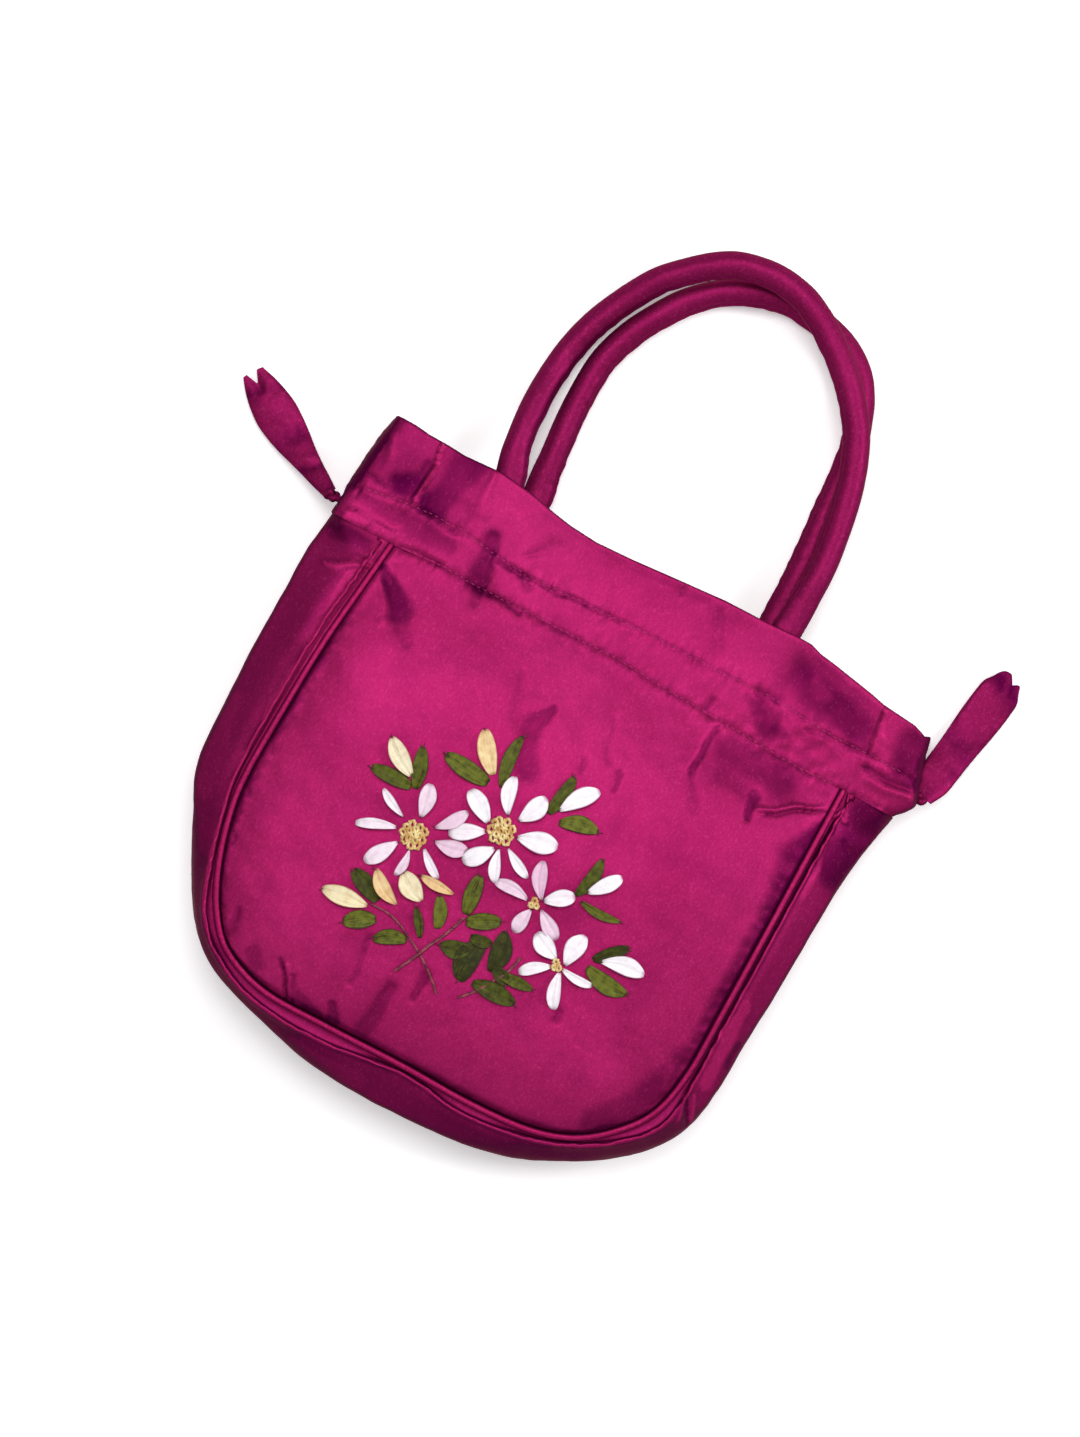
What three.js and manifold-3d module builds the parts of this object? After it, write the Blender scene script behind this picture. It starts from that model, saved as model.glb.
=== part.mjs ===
// A drawstring reticule of satin, lying on its back with its front panel up.
// Millimetres. X runs across the bag, Y up the bag towards its handles, and Z up from the floor.
// The origin lies on the floor under the middle of the back panel.
import * as THREE from "three";
import { mergeVertices } from "three/addons/utils/BufferGeometryUtils.js";
import Module from "manifold-3d";

const wasm = await Module();
wasm.setup();

// Driving dimensions
const PANEL_WIDTH = 168;
const PANEL_HEIGHT = 146; // from the panel's foot to the casing's lower stitch line
const PANEL_FOOT = 76; // how far the foot lies below the origin
const PANEL_WALL = 2; // satin, wadding and backing
const PANEL_CROWN = 7; // how far the wadded front swells over its seams
const GUSSET_WALL = 1.2;
const GUSSET_BULGE = 20; // how far the folded gusset stands out past the seams
const BODY_RISE = 30; // height of the front seam over the floor
const MOUTH_RISE = 20; // thickness of the lying bag at its casing and mouth
const PIPING_DIAMETER = 2.2;
const FOLD_DEPTH = 1.6; // of the deepest dent in the cloth
const BAND_HEIGHT = 32; // casing and collar together
const COLLAR_WALL = 1.6;
const CASING_HEIGHT = 11.5; // between the two stitch lines
const CASING_SKIN = 1.2; // each of the two layers that hold the channel
const CORD_DIAMETER = 2.2;
const CORD_CLEARANCE = 0.3;
const HANDLE_DIAMETER = 9;
const HANDLE_SPAN = 104; // between the two legs of the front handle
const HANDLE_RISE = 119.3; // from the sewn ends to the top of the loop
const HANDLE_ROUNDING = 17; // length past the collar over which a pressed end rounds out
const HANDLE_END_FILL = 0.75; // share of the room in the collar that two pressed ends take
const KNOT_DIAMETER = 4.8;
const TAB_LENGTH = 45;
const TAB_WIDTH = 14.5;
const TAB_THICKNESS = 3.6;
const TAB_FORK_DEPTH = 5;
const GAP = 0.3; // left between pieces that touch
const FLOOR_CLEARANCE = 0.05; // under the round pieces that lie on the floor

// The seam that joins a panel to the gusset, from the top left round the foot to the top right.
// x is a share of half the panel's width, y of its height over the foot, bulge of GUSSET_BULGE
// and rise of the way up from MOUTH_RISE to BODY_RISE.
const SEAM = [
  { x: -0.940, y: 1.015, bulge: 1.10, rise: 0.00 },
  { x: -0.964, y: 0.897, bulge: 1.10, rise: 0.34 },
  { x: -0.994, y: 0.760, bulge: 1.00, rise: 0.70 },
  { x: -1.012, y: 0.623, bulge: 0.95, rise: 0.91 },
  { x: -1.030, y: 0.418, bulge: 0.85, rise: 1.00 },
  { x: -1.012, y: 0.315, bulge: 0.65, rise: 1.09 },
  { x: -0.964, y: 0.212, bulge: 0.50, rise: 1.15 },
  { x: -0.893, y: 0.123, bulge: 0.44, rise: 1.15 },
  { x: -0.790, y: 0.058, bulge: 0.42, rise: 1.15 },
  { x: -0.600, y: 0.015, bulge: 0.45, rise: 1.09 },
  { x: -0.320, y: 0.008, bulge: 0.72, rise: 1.00 },
  { x: 0.000, y: 0.006, bulge: 0.80, rise: 0.91 },
  { x: 0.274, y: 0.000, bulge: 0.72, rise: 0.91 },
  { x: 0.512, y: 0.007, bulge: 0.58, rise: 1.00 },
  { x: 0.680, y: 0.034, bulge: 0.46, rise: 1.06 },
  { x: 0.810, y: 0.086, bulge: 0.50, rise: 1.09 },
  { x: 0.917, y: 0.163, bulge: 0.58, rise: 1.09 },
  { x: 0.964, y: 0.270, bulge: 0.60, rise: 1.00 },
  { x: 0.976, y: 0.418, bulge: 0.62, rise: 0.97 },
  { x: 0.988, y: 0.623, bulge: 0.68, rise: 0.85 },
  { x: 1.000, y: 0.830, bulge: 0.76, rise: 0.49 },
  { x: 1.012, y: 0.985, bulge: 0.95, rise: 0.00 },
];
const LEFT_CORNER = 8; // rows of SEAM where the sides turn into the foot
const RIGHT_CORNER = 15;

// Soft folds of the front. Ends are x in half panel widths and y in panel heights over the foot,
// width is a share of the panel's width, and depth one of FOLD_DEPTH, below zero for a dent.
const FOLDS = [
  { x0: -0.90, y0: 0.955, x1: -0.70, y1: 0.86, width: 0.06, depth: -1 },
  { x0: -0.62, y0: 1.09, x1: -0.56, y1: 0.99, width: 0.03, depth: -0.69 },
  { x0: 1.00, y0: 0.93, x1: 0.74, y1: 0.85, width: 0.03, depth: 0.87 },
  { x0: 0.70, y0: 0.87, x1: 0.72, y1: 0.80, width: 0.04, depth: -0.87 },
  { x0: 0.60, y0: 1.20, x1: 0.95, y1: 1.12, width: 0.07, depth: -0.87 },
  { x0: -0.92, y0: 1.20, x1: -0.82, y1: 1.10, width: 0.05, depth: -0.87 },
  { x0: -0.14, y0: 0.82, x1: -0.16, y1: 0.70, width: 0.04, depth: -0.75 },
  { x0: 0.13, y0: 0.82, x1: 0.12, y1: 0.74, width: 0.03, depth: -0.5 },
  { x0: -0.34, y0: 0.21, x1: -0.35, y1: 0.06, width: 0.03, depth: 0.56 },
  { x0: -0.20, y0: 0.20, x1: -0.22, y1: 0.03, width: 0.05, depth: -0.75 },
  { x0: -0.62, y0: 0.09, x1: -0.56, y1: 0.02, width: 0.02, depth: 0.5 },
];

// The band's side folds and the collar's wavy top edge. at is a share of the half width.
const BAND_LEFT_BULGE = [1.10, 1.06, 0.95]; // at the foot, the channel and the top edge
const BAND_RIGHT_BULGE = [0.95, 1.0, 0.85];
const TOP_EDGE = [
  { at: -1.25, height: 1.085 },
  { at: -0.96, height: 1.055 },
  { at: -0.74, height: 1.07 },
  { at: -0.51, height: 0.98 },
  { at: -0.30, height: 0.92 },
  { at: 0.00, height: 0.97 },
  { at: 0.24, height: 1.015 },
  { at: 0.61, height: 1.045 },
  { at: 0.71, height: 0.98 },
  { at: 0.83, height: 0.93 },
  { at: 0.95, height: 0.865 },
  { at: 1.10, height: 0.83 },
  { at: 1.25, height: 0.77 },
];

// Routes of the two handles from one sewn end to the other.
// x is a share of HANDLE_SPAN and y of HANDLE_RISE over the ends.
const FRONT_HANDLE = [
  { x: -0.505, y: 0.0 }, { x: -0.512, y: 0.10 }, { x: -0.527, y: 0.19 }, { x: -0.551, y: 0.27 },
  { x: -0.563, y: 0.35 }, { x: -0.565, y: 0.43 }, { x: -0.560, y: 0.52 }, { x: -0.543, y: 0.60 },
  { x: -0.512, y: 0.685 }, { x: -0.463, y: 0.77 }, { x: -0.404, y: 0.85 }, { x: -0.334, y: 0.91 },
  { x: -0.270, y: 0.955 }, { x: -0.190, y: 0.987 }, { x: -0.087, y: 1.0 }, { x: 0.012, y: 0.988 },
  { x: 0.090, y: 0.957 }, { x: 0.170, y: 0.908 }, { x: 0.258, y: 0.84 }, { x: 0.315, y: 0.78 },
  { x: 0.360, y: 0.72 }, { x: 0.398, y: 0.64 }, { x: 0.422, y: 0.56 }, { x: 0.440, y: 0.46 },
  { x: 0.451, y: 0.36 }, { x: 0.448, y: 0.27 }, { x: 0.441, y: 0.18 }, { x: 0.436, y: 0.10 },
  { x: 0.433, y: 0.0 },
];
const BACK_HANDLE = [
  { x: -0.423, y: 0.0 }, { x: -0.428, y: 0.10 }, { x: -0.432, y: 0.19 }, { x: -0.441, y: 0.27 },
  { x: -0.447, y: 0.35 }, { x: -0.452, y: 0.43 }, { x: -0.451, y: 0.52 }, { x: -0.440, y: 0.60 },
  { x: -0.408, y: 0.685 }, { x: -0.361, y: 0.76 }, { x: -0.290, y: 0.845 }, { x: -0.200, y: 0.91 },
  { x: -0.105, y: 0.950 }, { x: 0.000, y: 0.967 }, { x: 0.110, y: 0.955 }, { x: 0.205, y: 0.928 },
  { x: 0.275, y: 0.885 }, { x: 0.322, y: 0.827 }, { x: 0.350, y: 0.765 }, { x: 0.370, y: 0.70 },
  { x: 0.382, y: 0.61 }, { x: 0.387, y: 0.52 }, { x: 0.392, y: 0.43 }, { x: 0.397, y: 0.35 },
  { x: 0.400, y: 0.27 }, { x: 0.402, y: 0.18 }, { x: 0.400, y: 0.10 }, { x: 0.397, y: 0.0 },
];

// A tab's width along its length, as a share of TAB_WIDTH.
const TAB_OUTLINE = [0.22, 0.52, 0.78, 0.92, 1.0, 0.98, 0.86, 0.55];

const HALF_WIDTH = PANEL_WIDTH / 2;
const PIPING_RADIUS = PIPING_DIAMETER / 2;
const SEAM_REACH = PIPING_RADIUS + GAP; // from the seam line to either cloth edge
const BACK_SEAM_Z = PIPING_RADIUS + FLOOR_CLEARANCE;
const CHANNEL_DEPTH = CORD_DIAMETER + 2 * CORD_CLEARANCE;
const CASING_DEPTH = 2 * CASING_SKIN + CHANNEL_DEPTH;

// Uniform Catmull-Rom curve through table rows, read by row number.
function rowCurve(rows, toPoint) {
  const curve = new THREE.CatmullRomCurve3(rows.map(toPoint), false, "catmullrom");
  return (row) => curve.getPoint(THREE.MathUtils.clamp(row / (rows.length - 1), 0, 1));
}

const seamPlan = rowCurve(
  SEAM,
  (r) => new THREE.Vector3(r.x * HALF_WIDTH, r.y * PANEL_HEIGHT - PANEL_FOOT, 0),
);
const seamForm = rowCurve(SEAM, (r) => new THREE.Vector3(r.bulge, r.rise, 0));
const LAST_ROW = SEAM.length - 1;
const seamStart = seamPlan(0);
const seamEnd = seamPlan(LAST_ROW);

// The casing line runs from the seam's top left to its top right.
const casingDirection = seamEnd.clone().sub(seamStart).normalize();
const casingUp = new THREE.Vector3(-casingDirection.y, casingDirection.x, 0);
const casingMiddle = seamStart.clone().add(seamEnd).multiplyScalar(0.5);
const casingHalf = seamStart.distanceTo(seamEnd) / 2;

// A point of the band: across the casing line, up from it, and over the floor.
function bandPoint(across, up, z) {
  const point = casingMiddle.clone();
  point.addScaledVector(casingDirection, across);
  point.addScaledVector(casingUp, up);
  point.z = z;
  return point;
}

// One place on the seam: its plan point, outward direction, bulge and rise.
function seamAt(row) {
  const step = 0.05;
  const plan = seamPlan(row);
  const travel = seamPlan(row + step).sub(seamPlan(row - step)).normalize();
  const outward = new THREE.Vector3(travel.y, -travel.x, 0);
  const fromEnd = Math.min(row, LAST_ROW - row);
  if (fromEnd < 1) {
    const side = row < LAST_ROW / 2 ? -1 : 1;
    outward.lerp(casingDirection.clone().multiplyScalar(side), 1 - fromEnd).normalize();
  }
  const form = seamForm(row);
  const rise = THREE.MathUtils.lerp(MOUTH_RISE, BODY_RISE, form.y);
  return { plan, outward, bulge: form.x * GUSSET_BULGE, rise };
}

// Height that the folds add at a point in plan.
function foldHeight(x, y) {
  let sum = 0;
  for (const fold of FOLDS) {
    const start = new THREE.Vector2(fold.x0 * HALF_WIDTH, fold.y0 * PANEL_HEIGHT - PANEL_FOOT);
    const end = new THREE.Vector2(fold.x1 * HALF_WIDTH, fold.y1 * PANEL_HEIGHT - PANEL_FOOT);
    const along = end.sub(start);
    const away = new THREE.Vector2(x, y).sub(start);
    const share = THREE.MathUtils.clamp(away.dot(along) / along.lengthSq(), 0, 1);
    const distance = away.sub(along.multiplyScalar(share)).length();
    sum += fold.depth * FOLD_DEPTH * Math.exp(-((distance / (fold.width * PANEL_WIDTH)) ** 2));
  }
  return sum;
}

// A closed wall between two grids of points. grid[i][j] runs along, then across. A ring closes
// on itself along i.
function wall(outer, inner, isRing) {
  const along = outer.length;
  const across = outer[0].length;
  const points = [...outer.flat(), ...inner.flat()];
  const index = [];
  const at = (layer, i, j) => layer * along * across + (i % along) * across + j;
  const quad = (a, b, c, d) => index.push(a, b, c, a, c, d);
  for (let i = 0; i < (isRing ? along : along - 1); i++) {
    for (let j = 0; j < across - 1; j++) {
      quad(at(0, i, j), at(0, i + 1, j), at(0, i + 1, j + 1), at(0, i, j + 1));
      quad(at(1, i, j), at(1, i, j + 1), at(1, i + 1, j + 1), at(1, i + 1, j));
    }
    quad(at(0, i, 0), at(1, i, 0), at(1, i + 1, 0), at(0, i + 1, 0));
    const last = across - 1;
    quad(at(0, i, last), at(0, i + 1, last), at(1, i + 1, last), at(1, i, last));
  }
  if (!isRing) {
    const end = along - 1;
    for (let j = 0; j < across - 1; j++) {
      quad(at(0, 0, j), at(0, 0, j + 1), at(1, 0, j + 1), at(1, 0, j));
      quad(at(0, end, j), at(1, end, j), at(1, end, j + 1), at(0, end, j + 1));
    }
  }
  return geometryOf(points, index);
}

function geometryOf(points, index) {
  const geometry = new THREE.BufferGeometry().setFromPoints(points);
  geometry.setIndex(index);
  return geometry;
}

// A closed tube through a list of points. size(i) gives its two radii, along the side direction
// and square to it. The side lies level unless a direction is given.
function tube(points, sides, size, side) {
  const rings = points.map((point, i) => {
    const before = points[Math.max(i - 1, 0)];
    const after = points[Math.min(i + 1, points.length - 1)];
    const travel = after.clone().sub(before).normalize();
    const sideways = side ?? new THREE.Vector3(0, 0, 1).cross(travel).normalize();
    const upwards = travel.clone().cross(sideways).normalize();
    const radii = size(i);
    return Array.from({ length: sides }, (_, k) => {
      const turn = (2 * Math.PI * k) / sides;
      return point
        .clone()
        .addScaledVector(sideways, radii[0] * Math.cos(turn))
        .addScaledVector(upwards, radii[1] * Math.sin(turn));
    });
  });
  return closedRings(rings);
}

// Skins a row of rings and caps both ends.
function closedRings(rings) {
  const sides = rings[0].length;
  const index = [];
  for (let i = 0; i < rings.length - 1; i++) {
    for (let k = 0; k < sides; k++) {
      const a = i * sides + k;
      const b = i * sides + ((k + 1) % sides);
      index.push(a, b, b + sides, a, b + sides, a + sides);
    }
  }
  const lastRing = (rings.length - 1) * sides;
  for (let k = 1; k < sides - 1; k++) {
    index.push(0, k + 1, k);
    index.push(lastRing, lastRing + k, lastRing + k + 1);
  }
  return geometryOf(rings.flat(), index);
}

function solidOf(geometry) {
  const bare = geometry.clone();
  bare.deleteAttribute("normal");
  bare.deleteAttribute("uv");
  const merged = mergeVertices(bare, 1e-4);
  const mesh = new wasm.Mesh({
    numProp: 3,
    vertProperties: merged.attributes.position.array,
    triVerts: new Uint32Array(merged.index.array),
  });
  return new wasm.Manifold(mesh);
}

function geometryOfSolid(solid) {
  const mesh = solid.getMesh();
  const geometry = new THREE.BufferGeometry();
  geometry.setAttribute("position", new THREE.BufferAttribute(mesh.vertProperties, 3));
  geometry.setIndex(new THREE.BufferAttribute(mesh.triVerts, 1));
  return geometry;
}

// Materials
const satin = new THREE.MeshStandardMaterial({ color: 0xa8195c, roughness: 0.42, metalness: 0.1 });
const pipingSatin = new THREE.MeshStandardMaterial({ color: 0x7e1048, roughness: 0.5 });
const cordSatin = new THREE.MeshStandardMaterial({ color: 0x5e0d38, roughness: 0.6 });

// Front panel: a four-sided patch whose left side, foot and right side follow the seam.
const PANEL_ACROSS = 22;
const PANEL_DOWN = 18;
const TOP_MARGIN = 1 / PANEL_HEIGHT; // the sides start this much of a row below the casing

function panelSide(row) {
  const seam = seamAt(row);
  const point = seam.plan.clone().addScaledVector(seam.outward, -SEAM_REACH);
  point.z = seam.rise;
  return point;
}

function panelTop(share) {
  const reach = casingHalf - SEAM_REACH;
  return bandPoint(THREE.MathUtils.lerp(-reach, reach, share), -GAP, MOUTH_RISE);
}

function panelPatch(u, v) {
  const left = panelSide(THREE.MathUtils.lerp(TOP_MARGIN, LEFT_CORNER, v));
  const right = panelSide(THREE.MathUtils.lerp(LAST_ROW - TOP_MARGIN, RIGHT_CORNER, v));
  const foot = panelSide(THREE.MathUtils.lerp(LEFT_CORNER, RIGHT_CORNER, u));
  const top = panelTop(u);
  const point = new THREE.Vector3();
  point.addScaledVector(left, 1 - u).addScaledVector(right, u);
  point.addScaledVector(top, 1 - v).addScaledVector(foot, v);
  point.addScaledVector(panelTop(0), -(1 - u) * (1 - v));
  point.addScaledVector(panelTop(1), -u * (1 - v));
  point.addScaledVector(panelSide(LEFT_CORNER), -(1 - u) * v);
  point.addScaledVector(panelSide(RIGHT_CORNER), -u * v);
  return point;
}

function frontPanel() {
  const swell = (share) => 1 - Math.abs(2 * share - 1) ** 4;
  const outer = [];
  const inner = [];
  for (let i = 0; i <= PANEL_ACROSS; i++) {
    const u = i / PANEL_ACROSS;
    const column = Array.from({ length: PANEL_DOWN + 1 }, (_, j) => {
      const v = 1 - j / PANEL_DOWN;
      const point = panelPatch(u, v);
      const inside = swell(u) * swell(v);
      point.z += PANEL_CROWN * inside + foldHeight(point.x, point.y) * Math.min(1, 3 * inside);
      return point;
    });
    outer.push(column);
    inner.push(column.map((point) => point.clone().setZ(point.z - PANEL_WALL)));
  }
  return wall(outer, inner, false);
}

// Back panel: the same outline as a flat sheet on the floor.
const BACK_STEPS = 54;

function backPanel() {
  const outline = [];
  for (let i = 0; i <= BACK_STEPS; i++) {
    const row = THREE.MathUtils.lerp(TOP_MARGIN, LAST_ROW - TOP_MARGIN, i / BACK_STEPS);
    const seam = seamAt(row);
    const point = seam.plan.clone().addScaledVector(seam.outward, -SEAM_REACH);
    outline.push(new THREE.Vector2(point.x, point.y));
  }
  const right = panelTop(1);
  const left = panelTop(0);
  outline[0].set(left.x, left.y);
  outline[BACK_STEPS].set(right.x, right.y);
  return new THREE.ExtrudeGeometry(new THREE.Shape(outline), {
    depth: PANEL_WALL,
    bevelEnabled: false,
    steps: 1,
  });
}

// Section of a side fold, from the lower seam out to the fold and back over to the upper seam.
// It is a short run and a half ellipse. Each point is [distance out, height over the middle].
const FOLD_STEPS = 10;
const SHORTEST_RUN = 0.6;

function foldSection(start, bulge, halfRise, inset) {
  const run = Math.max(SHORTEST_RUN, bulge - start - halfRise);
  const reach = bulge - start - run;
  const section = [[start, inset - halfRise]];
  for (let k = 0; k <= FOLD_STEPS; k++) {
    const turn = Math.PI * (k / FOLD_STEPS - 0.5);
    section.push([
      start + run + (reach - inset) * Math.cos(turn),
      (halfRise - inset) * Math.sin(turn),
    ]);
  }
  section.push([start, halfRise - inset]);
  return section;
}

// Gusset: the strip that joins the two panels round the sides and the foot.
const GUSSET_STEPS = 60;

function gusset() {
  const layer = (inset) =>
    Array.from({ length: GUSSET_STEPS + 1 }, (_, i) => {
      const row = (LAST_ROW * i) / GUSSET_STEPS;
      const seam = seamAt(row);
      const low = BACK_SEAM_Z - GUSSET_WALL / 2;
      const halfRise = (seam.rise - low) / 2;
      const section = foldSection(SEAM_REACH, seam.bulge, halfRise, inset);
      const endGap = i === 0 || i === GUSSET_STEPS ? GAP : 0;
      return section.map(([out, height]) => {
        const point = seam.plan.clone().addScaledVector(seam.outward, out);
        point.addScaledVector(casingUp, -endGap);
        point.z = low + halfRise + height;
        return point;
      });
    });
  return wall(layer(0), layer(GUSSET_WALL), false);
}

// Piping: a thin covered cord in each seam.
const PIPING_STEPS = 64;

function piping(heightAt) {
  const points = Array.from({ length: PIPING_STEPS + 1 }, (_, i) => {
    const row = (LAST_ROW * i) / PIPING_STEPS;
    const seam = seamAt(row);
    const point = seam.plan.clone();
    if (i === 0 || i === PIPING_STEPS) point.addScaledVector(casingUp, -GAP);
    point.z = heightAt(seam);
    return point;
  });
  return tube(points, 8, () => [PIPING_RADIUS, PIPING_RADIUS]);
}

// Band: the casing with its cord channel, and the collar that stands above it. Its section is a
// flat loop of front, right fold, back and left fold. A station is one place on that loop.
const FRONT_STATIONS = 26;
const BACK_STATIONS = 14;

function bulgeUp(shares, up) {
  const channel = CASING_HEIGHT / 2;
  const [foot, middle, top] = shares;
  const share =
    up < channel
      ? THREE.MathUtils.lerp(foot, middle, up / channel)
      : THREE.MathUtils.lerp(middle, top, Math.min(1, (up - channel) / (BAND_HEIGHT - channel)));
  return share * GUSSET_BULGE;
}

// Every station as {across, z, outX, outZ} at a height above the casing line.
function bandLoop(up) {
  const half = MOUTH_RISE / 2;
  const stations = [];
  for (let k = 0; k <= FRONT_STATIONS; k++) {
    const across = THREE.MathUtils.lerp(-casingHalf, casingHalf, k / FRONT_STATIONS);
    stations.push({ across, z: MOUTH_RISE, outX: 0, outZ: 1 });
  }
  const side = (sign, bulge) => {
    const turns = [];
    for (let k = 0; k <= FOLD_STEPS; k++) turns.push(Math.PI * (0.5 - k / FOLD_STEPS));
    const places = turns.map((turn) => ({
      across: sign * (casingHalf + bulge - half + half * Math.cos(turn)),
      z: half + half * Math.sin(turn),
      outX: sign * Math.cos(turn),
      outZ: Math.sin(turn),
    }));
    return sign > 0 ? places : places.reverse();
  };
  stations.push(...side(1, bulgeUp(BAND_RIGHT_BULGE, up)));
  for (let k = 0; k <= BACK_STATIONS; k++) {
    const across = THREE.MathUtils.lerp(casingHalf, -casingHalf, k / BACK_STATIONS);
    stations.push({ across, z: 0, outX: 0, outZ: -1 });
  }
  stations.push(...side(-1, bulgeUp(BAND_LEFT_BULGE, up)));
  return stations;
}

const topEdge = new THREE.CatmullRomCurve3(
  TOP_EDGE.map((row) => new THREE.Vector3(row.at * HALF_WIDTH, row.height * BAND_HEIGHT, 0)),
  false,
  "catmullrom",
).getPoints(60);

function topEdgeHeight(across) {
  const next = topEdge.findIndex((point) => point.x >= across);
  if (next < 1) return topEdge[next === 0 ? 0 : topEdge.length - 1].y;
  const before = topEdge[next - 1];
  const after = topEdge[next];
  return THREE.MathUtils.mapLinear(across, before.x, after.x, before.y, after.y);
}

// Layer of the band: for each station, a point at every height up and depth under the outer face.
// rise is the share of the way from that height to the top edge. The foot has no folds, so that it
// meets the panels.
function bandLayer(profile) {
  const loops = profile.map(({ up, depth, rise = 0 }) => ({
    loop: bandLoop(up + rise * (BAND_HEIGHT - CASING_HEIGHT)),
    up,
    depth,
    rise,
  }));
  return loops[0].loop.map((_, i) =>
    loops.map(({ loop, up, depth, rise }) => {
      const station = loop[i];
      const height = up + rise * (topEdgeHeight(station.across) - up);
      const point = bandPoint(
        station.across - station.outX * depth,
        height,
        station.z - station.outZ * depth,
      );
      if (station.outZ === 1 && up > 0) point.z += foldHeight(point.x, point.y);
      return point;
    }),
  );
}

const CASING_EDGE = 0.8; // the casing thickens over this height at each stitch line

function topBand() {
  const bottom = CASING_EDGE;
  const top = CASING_HEIGHT - CASING_EDGE;
  const outer = bandLayer([
    { up: 0, depth: 0 },
    { up: bottom, depth: 0 },
    { up: CASING_HEIGHT / 2, depth: 0 },
    { up: top, depth: 0 },
    { up: CASING_HEIGHT, depth: 0 },
    { up: CASING_HEIGHT, depth: 0, rise: 0.5 },
    { up: CASING_HEIGHT, depth: 0, rise: 1 },
  ]);
  const inner = bandLayer([
    { up: 0, depth: COLLAR_WALL },
    { up: bottom, depth: CASING_DEPTH },
    { up: CASING_HEIGHT / 2, depth: CASING_DEPTH },
    { up: top, depth: CASING_DEPTH },
    { up: CASING_HEIGHT, depth: COLLAR_WALL },
    { up: CASING_HEIGHT, depth: COLLAR_WALL, rise: 0.5 },
    { up: CASING_HEIGHT, depth: COLLAR_WALL, rise: 1 },
  ]);
  const heights = [bottom + CASING_SKIN, CASING_HEIGHT / 2, top - CASING_SKIN];
  const channelOuter = bandLayer(heights.map((up) => ({ up, depth: CASING_SKIN })));
  const channelInner = bandLayer(
    heights.map((up) => ({ up, depth: CASING_SKIN + CHANNEL_DEPTH })),
  );
  let band = solidOf(wall(outer, inner, true));
  band = band.subtract(solidOf(wall(channelOuter, channelInner, true)));
  for (const sign of [-1, 1]) band = band.subtract(solidOf(cordExit(sign)));
  return geometryOfSolid(band);
}

// Round hole through the outer skin at a side fold, where the cord's two ends leave.
const EXIT_RADIUS = CORD_DIAMETER + 2 * CORD_CLEARANCE;

// The two cords lie side by side in the channel, the right-hand one above the left-hand one.
function cordUp(sign) {
  return CASING_HEIGHT / 2 + sign * (CORD_DIAMETER / 2 + CORD_CLEARANCE);
}

function foldReach(sign) {
  const shares = sign < 0 ? BAND_LEFT_BULGE : BAND_RIGHT_BULGE;
  return casingHalf + bulgeUp(shares, CASING_HEIGHT / 2);
}

function cordExit(sign) {
  const reach = foldReach(sign);
  const points = [reach + 2, reach - CASING_SKIN - CHANNEL_DEPTH / 2].map((out) =>
    bandPoint(sign * out, cordUp(sign), MOUTH_RISE / 2),
  );
  return tube(points, 12, () => [EXIT_RADIUS, EXIT_RADIUS]);
}

// Drawstring: out of one side fold, once round the channel and back out beside its start.
const CORD_SIDES = 6;
const END_SPLIT = (CORD_DIAMETER + CORD_CLEARANCE) / 2; // from the hole's middle to each end

function drawstring(sign) {
  const up = cordUp(sign);
  const depth = CASING_SKIN + CHANNEL_DEPTH / 2;
  const loop = bandLayer([{ up, depth }]).flat();
  const rightFold = FRONT_STATIONS + 1 + FOLD_STEPS / 2;
  const leftFold = loop.length - 1 - FOLD_STEPS / 2;
  const first = sign > 0 ? rightFold : leftFold;
  const run = Array.from({ length: loop.length - 1 }, (_, k) => loop[(first + k + 1) % loop.length]);
  const out = foldReach(sign) + GAP;
  const inside = foldReach(sign) - depth;
  const middle = MOUTH_RISE / 2;
  const corner = 0.16 * CORD_DIAMETER;
  // The loop starts below the fold's middle on the right and above it on the left.
  const ends = [-sign, sign].map((way) => {
    const z = middle + way * END_SPLIT;
    return [
      bandPoint(sign * out, up, z),
      bandPoint(sign * (inside + CASING_SKIN), up, z),
      bandPoint(sign * (inside + corner), up, z + way * corner),
    ];
  });
  const route = [...ends[0], ...run, ...ends[1].reverse()];
  const radius = CORD_DIAMETER / 2;
  return tube(thinned(route, 0.9 * radius), CORD_SIDES, () => [radius, radius], casingUp);
}

// Leaves out points that follow the last kept one too closely.
function thinned(points, spacing) {
  const kept = [points[0]];
  for (const point of points.slice(1)) {
    if (point.distanceTo(kept[kept.length - 1]) >= spacing) kept.push(point);
  }
  return kept;
}

// Knot that ties the drawstring's ends at the mouth of the channel.
function knotCentre(sign) {
  const radius = KNOT_DIAMETER / 2;
  return bandPoint(sign * (foldReach(sign) + 2 * GAP + radius), cordUp(sign), MOUTH_RISE / 2);
}

function knot() {
  return new THREE.SphereGeometry(KNOT_DIAMETER / 2, 14, 10);
}

// Tab: a petal of folded satin on each knot, with a forked tip that comes down to the floor.
const TABS = [
  { sign: -1, heading: 149.5, curl: -10, stretch: 1.02 }, // degrees from X, and how far it
  { sign: 1, heading: 81, curl: 5, stretch: 1.06 }, // turns on its way
];
const TAB_STEPS = 20;
const TAB_SIDES = 12;

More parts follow.
